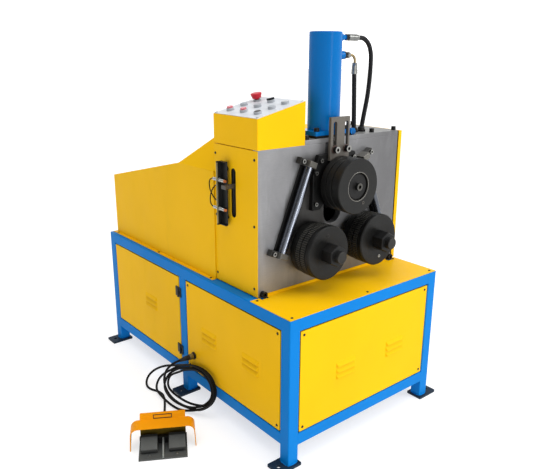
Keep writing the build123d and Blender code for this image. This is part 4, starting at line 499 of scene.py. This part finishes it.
ring = Shape()
ring.turned([(57.0, 4.0), (55.6, 4.0), (55.4, 0.4), (55.9, -0.4), (56.4, -0.7), (57.5, -0.7), (58.1, -0.3), (58.4, 0.3)], (7, -622, 1023), Y, Z, 96)
ring.make("recess_ring", RING, "upper_roll_body", 50)

dowel = Shape()
a = math.radians(-66)
dowel.turned(PIN, (7 + 74 * math.cos(a), -622, 1023 + 74 * math.sin(a)), Y, Z, 24)
dowel.make("upper_roll_dowel", DARKSTEEL, "upper_roll_body")

# ---------------------------------------------------------------- panel screws with a cross recess
DOME = [(0, 3.0), (2.0, 2.9), (4.0, 2.3), (5.2, 1.2), (5.5, 0.0)]


def dome(r):
    for (r0, h0), (r1, h1) in zip(DOME, DOME[1:]):
        if r <= r1:
            return h0 + (h1 - h0) * (r - r0) / (r1 - r0)
    return 0.0


def cross_screw(shape, p, n, turn, k=1.0, mi=0):
    n = Vector(n).normalized()
    ref = (Y if abs(n.y) < 0.5 else X)
    ref = (ref - n * ref.dot(n)).normalized()
    side = n.cross(ref)
    rows = []
    for r in (0.0, 0.45, 0.9, 1.35, 1.8, 2.25, 2.7, 3.1, 3.5, 4.0, 4.6, 5.2, 5.5):
        row = []
        for i in range(40):
            t = 2 * math.pi * i / 40
            x, y = r * math.cos(t), r * math.sin(t)
            near, far = min(abs(x), abs(y)), max(abs(x), abs(y))
            h = dome(r)
            if near < 0.62 and far < 2.9:
                h -= 1.7 * (1 - far / 3.3)
            c, s = math.cos(turn), math.sin(turn)
            row.append(Vector(p) + (ref * (x * c - y * s) + side * (x * s + y * c) + n * h) * k)
        rows.append(row)
    rows.append([Vector(p) for _ in range(40)])
    shape.grid(rows, True, mi=mi)


SLOPE = math.atan2(53.3, 231.5)
P_X, P_N = Vector((math.cos(SLOPE), 0, math.sin(SLOPE))), Vector((-math.sin(SLOPE), 0, math.cos(SLOPE)))
PA, PB = 231.5 / math.cos(SLOPE), 277.3
SCREWS = []
for z in (155, 539):
    for x in (-352, 352):
        SCREWS += [((x, -719, z), (0, -1, 0)), ((x, 719, z), (0, 1, 0))]
    for y in (-650, -36):
        SCREWS += [((-421, y, z), (-1, 0, 0)), ((421, y, z), (1, 0, 0))]
    for y in (56, 650):
        SCREWS.append(((421, y, z), (1, 0, 0)))
for x, y in ((-398, -702), (0, -702), (398, -702), (398, -500), (-398, -500)):
    SCREWS.append(((x, y, 612), (0, 0, 1)))
for y, z in ((-215.4, 1142), (-464.4, 1146), (-463, 894), (-216, 894), (-216, 645), (-462, 645)):
    SCREWS.append(((-382, y, z), (-1, 0, 0)))
for y in (-420, -265):
    for z in (700, 1100):
        SCREWS.append(((422, y, z), (1, 0, 0)))
for y in (-182, 255, 679):
    SCREWS += [((-396, y, 612), (0, 0, 1)), ((396.5, y, 612), (0, 0, 1))]
for a in (10, PA - 10):
    for b in (10, PB - 10):
        SCREWS.append((Vector((-382, -482.5, 1293.8)) + P_X * a + Y * b + P_N * 2, P_N))
rnd = random.Random(11)
heads = Shape()
for p, n in SCREWS:
    cross_screw(heads, p, n, rnd.uniform(0, 1.57), mi=1 if abs(n[0]) + abs(n[1]) + abs(n[2]) > 1.1 else 0)
heads.make("cross_head_screws", [SCREWBLACK, PLATED], "machine", 30, ("panel_screws",))

# Screws of the hinge leaves
for label, body, spots in (("frame", "machine", [(-427.5, 24, 6.5), (-426, 24, 22), (-427.5, 24, 37.5)]), ("door", "door", [(-425, 57, 9), (-425, 57, 35)])):
    sh = Shape()
    for z0 in (181, 464):
        for x, y, dz in spots:
            cross_screw(sh, (x, y, z0 + dz), (-1, 0, 0), rnd.uniform(0, 1.57), 0.62)
    sh.make("hinge_screws_" + label, SHAFTEND, body, 30)

# ---------------------------------------------------------------- weld beads of the base frame
beads = Shape()


def bead(p0, p1, na, nb, r=3.6):
    """Rippled fillet weld in the corner of two faces."""
    p0, p1, na, nb = Vector(p0), Vector(p1), Vector(na), Vector(nb)
    n = max(6, int((p1 - p0).length / 1.5))
    along = (p1 - p0).normalized()
    rows = []
    for j in range(n + 1):
        t = j / n
        end = min(1.0, 4.0 * min(t, 1 - t) + 0.15)
        rr = r * end * (0.92 + 0.10 * math.cos(j * 2.1) + rnd.uniform(-0.05, 0.05))
        lean = (j * 1.5 % 3.0) * 0.25
        c = p0.lerp(p1, t) - (na + nb) * 0.8
        rows.append([c + (na * math.cos(w) + nb * math.sin(w)) * rr + along * (lean * math.sin(w * 2)) for w in [math.radians(q) for q in range(-40, 131, 17)]])
    beads.grid(rows, False)


for sx in (-1, 1):
    for y in (-696, 10, 696):
        x = sx * 398
        for ax, ay in ((1, 0), (-1, 0), (0, 1), (0, -1)):
            q, d = Vector((x + 25 * ax, y + 25 * ay, 10)), Vector((ay, ax, 0))
            bead(q - d * 21, q + d * 21, (ax, ay, 0), (0, 0, 1), 4.2)
    for z, nz in ((84, -1), (134, 1), (560, -1)):
        for y in (-696, 696):
            bead((sx * 373, y - 20, z), (sx * 373, y + 20, z), (-sx, 0, 0), (0, 0, nz))
        for y, ny in ((-671, 1), (-15, -1), (35, 1), (671, -1)):
            if z < 500 or abs(y) > 600:
                bead((sx * 378, y, z), (sx * 418, y, z), (0, ny, 0), (0, 0, nz))
    for y, ny in ((-15, -1), (35, 1)):
        bead((sx * 378, y, 560), (sx * 418, y, 560), (0, ny, 0), (0, 0, -1))
beads.make("frame_weld_beads", BLUE, "machine", 60)

# Joints of the square tube, filled and ground flush
flush = Shape()


def ground_weld(p0, p1, into, out):
    """Strip over the notch between two flush tube faces."""
    p0, p1, into, out = Vector(p0), Vector(p1), Vector(into), Vector(out)
    rows = []
    for t in (0.0, 0.02, 0.98, 1.0):
        k = 0.4 if t in (0.0, 1.0) else 1.0
        c = p0.lerp(p1, t)
        rows.append([c - into * 5.2 - out * 1.6, c - into * 4.6 + out * 0.1 * k, c - into * 2.2 + out * 0.16 * k, c + into * 0.2 + out * 0.1 * k, c + into * 0.8 - out * 1.6])
    flush.grid(rows, False)


for z0, z1 in ((84.0, 134.0), (560.0, 610.0)):
    for sx in (-1, 1):
        for sy in (-1, 1):
            ground_weld((sx * 373, sy * 721, z0 + 3), (sx * 373, sy * 721, z1 - 3), (-sx, 0, 0), (0, sy, 0))
            ground_weld((sx * 423, sy * 671, z0 + 3), (sx * 423, sy * 671, z1 - 3), (0, -sy, 0), (sx, 0, 0))
for sx in (-1, 1):
    for sy in (-1, 1):
        ground_weld((sx * 373, sy * 718, 610), (sx * 373, sy * 673, 610), (-sx, 0, 0), (0, 0, 1))
        ground_weld((sx * 420, sy * 671, 610), (sx * 375, sy * 671, 610), (0, -sy, 0), (0, 0, 1))
    for y, ny in ((-15.0, -1), (35.0, 1)):
        ground_weld((sx * 423, y, 87), (sx * 423, y, 131), (0, ny, 0), (sx, 0, 0))
    ground_weld((sx * 423, -12, 560), (sx * 423, 32, 560), (0, 0, -1), (sx, 0, 0))
flush.make("ground_weld_strips", BLUE, "machine", 60)

# Rubber strips that fill the gap between the fixed panels and the frame
seals = Shape()


def seal(a0, a1, place):
    """Strip round one opening; place(a, z, h) gives a point h behind the panel's outer face."""
    rows = []
    for off, h in ((0.02, 4.9), (0.5, 4.3), (GAP - 0.5, 4.3), (GAP - 0.02, 4.9), (GAP - 0.02, 11.0), (0.02, 11.0)):
        rows.append([place(a, z, h) for a, z in ((a0 + off, 134 + off), (a1 - off, 134 + off), (a1 - off, 560 - off), (a0 + off, 560 - off))])
    seals.grid(rows, True, True)


GAP = 5.0
seal(-373, 373, lambda a, z, h: (a, -719 + h, z))
seal(-373, 373, lambda a, z, h: (a, 719 - h, z))
seal(-671, -15, lambda a, z, h: (-421 + h, a, z))
seal(-671, -15, lambda a, z, h: (421 - h, a, z))
seal(35, 671, lambda a, z, h: (421 - h, a, z))
seals.make("panel_seals", RUBBER, "machine", 40)

# Folded lip that closes the rear cover against the left side cover
lip = Shape()
rows = []
for z in (612.4, 620.0, 760.0, 900.0, 1040.0, 1064.0):
    rows.append([(-386.4, -203.2, z), (-386.9, -204.4, z), (-386.2, -205.2, z), (-384.0, -205.28, z), (-382.1, -205.28, z), (-381.6, -204.6, z), (-381.6, -203.2, z)])
lip.grid(rows, True)
lip.make("rear_cover_lip", YELLOW, "machine", 50)

# Ring welds where the port bosses meet the cylinder barrel
ports = Shape()
for z, r in ((1580.0, 11.0), (1512.0, 17.0)):
    rows = []
    for j in range(64):
        t = 2 * math.pi * j / 64
        rr = r + 0.6 + 0.5 * math.cos(j * 2.2)
        dy, dz = r * math.cos(t), r * math.sin(t)
        x = 7 + math.sqrt(65.0 ** 2 - dy ** 2)
        o = Vector((0, math.cos(t), math.sin(t)))
        c = Vector((x - 0.6, -416 + dy, z + dz)) - o * 0.6
        rows.append([c + (X * math.cos(w) + o * math.sin(w)) * (3.0 + 0.35 * math.cos(j * 2.2)) for w in [math.radians(q) for q in range(-40, 131, 17)]])
    ports.grid(rows, False, True)
ports.make("port_weld_beads", CYLBLUE, "machine", 60)

# ---------------------------------------------------------------- crimp rings on the hose ferrules
crimps = Shape()
RIDGE = [(0.0, 0), (0.9, 0.4), (0.9, 3.2), (0.0, 3.6)]
for i in range(6):
    crimps.turned([(12.3 + r, h) for r, h in RIDGE], (133 + i * 8.6, -416, 1580), X, Z, 40)
for i in range(4):
    crimps.turned([(11.8 + r, h) for r, h in RIDGE], (175, -416, 1467 - i * 7.4), -Z, X, 40)
crimps.make("ferrule_crimps", NICKEL, "machine", 40)

# ---------------------------------------------------------------- threads of the two sensors
threads = Shape()
for z in (1047.0, 933.5):
    for y0, y1 in ((-311.0, -282.0), (-269.0, -241.0)):
        pts, y = [(5.9, y0)], y0
        while y < y1:
            pts += [(6.4, y + 0.4), (6.4, y + 0.7), (5.95, y + 1.2)]
            y += 1.3
        threads.turned(pts, (-410, 0, z), Y, X, 36)
threads.make("sensor_threads", PLATED, "machine", 50)

# Bare edge of the sensor rail's flange
edge = Shape()
rows = []
for z in (874.0, 874.6, 900.0, 960.0, 1030.0, 1090.0, 1114.4, 1115.0):
    k = 0.3 if z in (874.0, 1115.0) else 1.0
    rows.append([(-420.9, -274.6, z), (-421.0 - 0.5 * k, -274.8, z), (-421.0 - 0.6 * k, -277.0 - 0.4 * k, z), (-420.6, -277.0 - 0.6 * k, z), (-415.4, -277.0 - 0.6 * k, z),
                 (-414.8, -277.0 - 0.3 * k, z), (-414.8, -276.8, z), (-420.9, -276.8, z)])
edge.grid(rows, True)
edge.make("rail_edge_trim", RAILEDGE, "machine", 40)

# ---------------------------------------------------------------- ribbed treads on the pedals, plate frame on the guard
def tread(name, u0, u1, body):
    sh = Shape()
    o, d, n = (30.0, 25.0), Vector((62, 22)).normalized(), Vector((-22, 62)).normalized()
    prof, s = [(3.0, -0.3), (3.4, 0.5)], 4.2
    while s < 58.0:
        prof += [(s, 0.5), (s + 0.7, 1.6), (s + 2.3, 1.6), (s + 3.0, 0.5)]
        s += 4.5
    prof += [(62.6, 0.5), (63.0, -0.3)]
    rows = []
    for s, h in prof:
        lo, hi = Vector(o) + d * s - n * 0.3, Vector(o) + d * s + n * h
        rows.append([fs(u0, *lo), fs(u0 + 0.8, *hi), fs(u1 - 0.8, *hi), fs(u1, *lo)])
    sh.grid(rows, True)
    return sh.make(name, TREAD, body, 25)


tread("pedal_tread_left", -87.5, -22.5, "pedal_left_body")
tread("pedal_tread_right", 22.5, 87.5, "pedal_right_body")

divider = Shape()
rows = []
for v, top in ((3.0, 10.4), (4.0, 12.0), (8.0, 13.6), (30.0, 20.0), (60.0, 29.0), (84.0, 36.0), (91.0, 37.4), (93.5, 36.6), (94.2, 35.0)):
    rows.append([fs(-3.5, v, 9.4), fs(-3.5, v, top - 1.2), fs(-2.4, v, top), fs(2.4, v, top), fs(3.5, v, top - 1.2), fs(3.5, v, 9.4)])
rows = [[fs(0, 3.0, 9.9)] * 6] + rows + [[fs(0, 94.2, 20.0)] * 6]
divider.grid(rows, True)
divider.make("pedal_divider", PALEMETAL, "machine", 30)

plate_frame = Shape()
mid, du, dv, nn = Vector((0, 138.0, 105.0)), Vector((1, 0, 0)), Vector((0, 10, 14)).normalized(), Vector((0, -14, 10)).normalized()
rows = []
for off, h in ((-1.6, -0.2), (-1.2, 1.2), (1.2, 1.2), (1.6, -0.2)):
    row = []
    for sx, sy in ((-1, -1), (1, -1), (1, 1), (-1, 1)):
        q = mid + du * sx * (36 + off) + dv * sy * (6.8 + off) + nn * h
        row.append(fs(*q))
    rows.append(row)
plate_frame.grid(rows, True, True)
plate_frame.make("guard_plate_frame", DARKPL, "machine", 30)


# ---------------------------------------------------------------- materials on the CAD pieces
def dress(node, *mats, pick=None):
    o = N[node]
    o.data.materials.clear()
    for m in mats:
        o.data.materials.append(m)
    if pick:
        for p in o.data.polygons:
            p.material_index = pick(p.center * 1000.0, p.normal)


def rad(c, x, z):
    return math.hypot(c.x - x, c.z - z)


def along_rod(c):
    x = c.x if c.x < 7 else 14 - c.x
    return (x + 276.5) * math.sin(math.radians(22.5)) + (c.z - 964) * math.cos(math.radians(22.5))


def fs_local(c):
    q = c - FS_O
    return q.dot(FS_U), q.dot(FS_V), q.z


def pick_fitting(c, n):
    if c.z < 1222:
        return 0
    if c.x < 114.05 and c.z > 1550:
        return 3
    if c.x < 130.1 and c.z > 1550 or c.x < 118.1 and c.z < 1550:
        return 0
    if 1482.1 < c.z < 1523 and c.x > 140.1:
        return 2
    return 1


def pick_base(c, n):
    u, v, w = fs_local(c)
    if w > 8.05 and v < 92.1 and abs(u) < 4:
        return 1
    if w > 8.05 and math.hypot(abs(u) - 53, v - 20) < 4.3:
        return 2
    return 3 if w > 8.05 else 0


def pick_guard(c, n):
    u, v, w = fs_local(c)
    if v > 160.05:
        return 1
    # Index 2 paints shade on the inner back wall, the undersides and the inner sides of the guard.
    nu, nv = n.dot(FS_U), n.dot(FS_V)
    if 116.5 < v < 133.2 and nv < -0.5 and w < 95:
        return 2
    return 2 if v < 133 and (n.z < -0.3 or nu * u < 0 and abs(nu) > 0.3) else 0


for n in ("front_panel", "left_front_panel", "plain_panels", "top_sheet", "side_covers", "rear_cover", "base_door", "control_box"):
    dress(n, YELLOW)
dress("base_frame", BLUE, FOOTPAINT, pick=lambda c, n: 1 if c.z < 10.05 else 0)
dress("cylinder_barrel", CYLBLUE)
dress("cylinder_flange", CYLBLUE, BLACK, pick=lambda c, n: 1 if c.z < 1209.9 else 0)
dress("hinge_frame_leaves", RAILBLACK)
dress("hinge_door_leaves", RAILBLACK)
dress("front_plate", PLATE)
dress("top_plate", DECK, PLATE, pick=lambda c, n: 1 if n.y < -0.5 else 0)
for n in ("slide_block", "rear_plate", "side_plates"):
    dress(n, INNER)
dress("slot_plate", SLOTSTEEL, BOLTSTEEL, WASHER, SCREWBLACK, pick=lambda c, n: 0 if c.y > -516.2 else 1 if n.y < -0.9 and c.y < -534.5 else 2 if c.y > -519.2 else 3)
for n in ("lower_shaft_left", "lower_shaft_right"):
    dress(n, BLACK, SHAFTEND, pick=lambda c, n, x=(-137 if "left" in n else 151): 1 if c.y < -668.1 and rad(c, x, 779) < 24.1 else 0)
dress("upper_shaft", BLACK, CAPSCREW, pick=lambda c, n: 1 if n.y < -0.9 and c.y < -629.5 else 0)
dress("drive_pinion", SHAFTSTEEL)
dress("target_arm", DARKSTEEL)
dress("lower_bearings", BLACK)
dress("upper_roll", ROLL_U, RING, pick=lambda c, n: 1 if c.y < -620.9 and 56.9 < rad(c, 7, 1023) < 58.1 else 0)
dress("guide_plates", BLACK)
dress("rod_brackets", BRACKET)
dress("plate_bolts", SCREWBLACK)
dress("socket_screws", SCREWBLACK, BOLTSTEEL, pick=lambda c, n: 1 if n.y < -0.9 and (abs(c.y + 511.5) < 0.1 or abs(c.y + 516.5) < 0.1) else 0)
dress("panel_screws", SCREWBLACK)
# The right guide rod (x > 7) gets the darker chrome as painted shade.
dress("guide_rods", CHROME, BLOCKSTEEL, SHADED_CHROME, pick=lambda c, n: 1 if along_rod(c) > 175.0 or along_rod(c) < -170.0 else 2 if c.x > 7 else 0)
dress("piston_rod", CHROME)
dress("hose_fittings", BLACK, NICKEL, BRASS, CYLBLUE, pick=pick_fitting)
dress("hydraulic_hoses", HOSE)
dress("cable_socket", DARKPL, NICKEL, pick=lambda c, n: 1 if -446 < c.x < -431.5 else 0)
dress("pedal_left", PEDALPL)
dress("pedal_right", PEDALPL)
dress("button_collars", COLLARS)
for n in ("grey_button_front", "grey_button_middle", "grey_button_rear"):
    dress(n, GREYPL)
dress("white_button", PALEPL)
dress("dark_button", DARKPL)
dress("selector_knob", KNOBPL)
for n in ("red_button_middle", "red_button_rear"):
    dress(n, REDLENS)
dress("stop_mushroom", REDPL)
dress("control_panel", WHITE)
dress("foot_switch_base", BASEPL, PALEMETAL, BOLTSTEEL, DARKPL, pick=pick_base)
dress("foot_switch_hood", ORANGE, DARKPL, SHADED_ORANGE, pick=pick_guard)
dress("sensor_rail", RAILBLACK)
dress("proximity_sensors", PLATED, TIP, RUBBER, pick=lambda c, n: 1 if c.y < -312.01 else 2 if c.y > -239.9 else 0)
dress("electric_backplate", ZINC, UNITPL, DUCTPL, pick=lambda c, n: 2 if c.z < 220.1 and c.x < -100.1 and c.z > 179.9 else 1 if c.x < -112.1 else 0)
dress("gear_motor", CASTGREY)
dress("power_pack", CASTGREY)
for n in ("lower_roll_left", "lower_roll_right"):
    dress(n, ROLL_L)
for n in ("foot_cable", "foot_cable_coil"):
    dress(n, RUBBER)

# ---------------------------------------------------------------- floor and light
fl = bpy.data.meshes.new("floor")
fl.from_pydata([(-40, -40, 0), (40, -40, 0), (40, 40, 0), (-40, 40, 0)], [], [(0, 1, 2, 3)])
floor = bpy.data.objects.new("floor", fl)
S.collection.objects.link(floor)
fm, ft, fb = new_mat("pale_floor")
fn = noise(ft, obj_co(ft), 1.5, 4)
put(ft, fb, Base_Color=mixc(ft, fn, (0.42, 0.42, 0.42, 1), (0.46, 0.46, 0.46, 1)), Roughness=0.85)
fb.inputs["Specular IOR Level"].default_value = 0.1
fb.inputs["Emission Color"].default_value = (1, 1, 1, 1)
fb.inputs["Emission Strength"].default_value = 0.655
fl.materials.append(fm)

world = bpy.data.worlds.new("studio")
S.world = world
world.use_nodes = True
wt = world.node_tree
bg = wt.nodes["Background"]
bg.inputs[0].default_value = (1, 1, 1, 1)
way = nd(wt, "ShaderNodeTexCoord").outputs["Generated"]
axes = nd(wt, "ShaderNodeSeparateXYZ", {0: way}).outputs
shade = calc(wt, "MULTIPLY", remap(wt, axes[2], 0.13, 0.30, 0.0, 1.0, True), remap(wt, axes[0], -0.75, 0.10, 0.92, 0.0, True))
level = calc(wt, "MULTIPLY", remap(wt, axes[2], 0.10, 0.40, 1.03, 0.36, True), calc(wt, "SUBTRACT", 1.0, shade))
behind = nd(wt, "ShaderNodeVectorMath", {0: way, 1: (0.60, 0.74, 0.31)}, operation="DOT_PRODUCT").outputs[1]
wt.links.new(calc(wt, "ADD", level, remap(wt, behind, 0.86, 0.97, 0.0, 1.0, True)), bg.inputs[1])


def sun(name, direction, strength, angle):
    d = bpy.data.lights.new(name, "SUN")
    d.energy = strength
    d.angle = math.radians(angle)
    o = bpy.data.objects.new(name, d)
    o.rotation_euler = Vector(direction).to_track_quat("Z", "Y").to_euler()
    S.collection.objects.link(o)
    return o


def soft_box(name, place, aim, width, height, watts):
    d = bpy.data.lights.new(name, "AREA")
    d.shape, d.size, d.size_y, d.energy = "RECTANGLE", width, height, watts
    o = bpy.data.objects.new(name, d)
    o.location = place
    o.rotation_euler = (Vector(place) - Vector(aim)).to_track_quat("Z", "Y").to_euler()
    o.visible_camera = False
    S.collection.objects.link(o)
    return o


soft_box("front_soft_box", (0.0, -4.6, 1.2), (0.0, -0.5, 1.0), 0.6, 3.0, 30.0)
sun("key", (0.55, -0.62, 0.52), 1.74, 32)
sun("overhead", (-0.15, -0.10, 1.0), 2.0, 60)
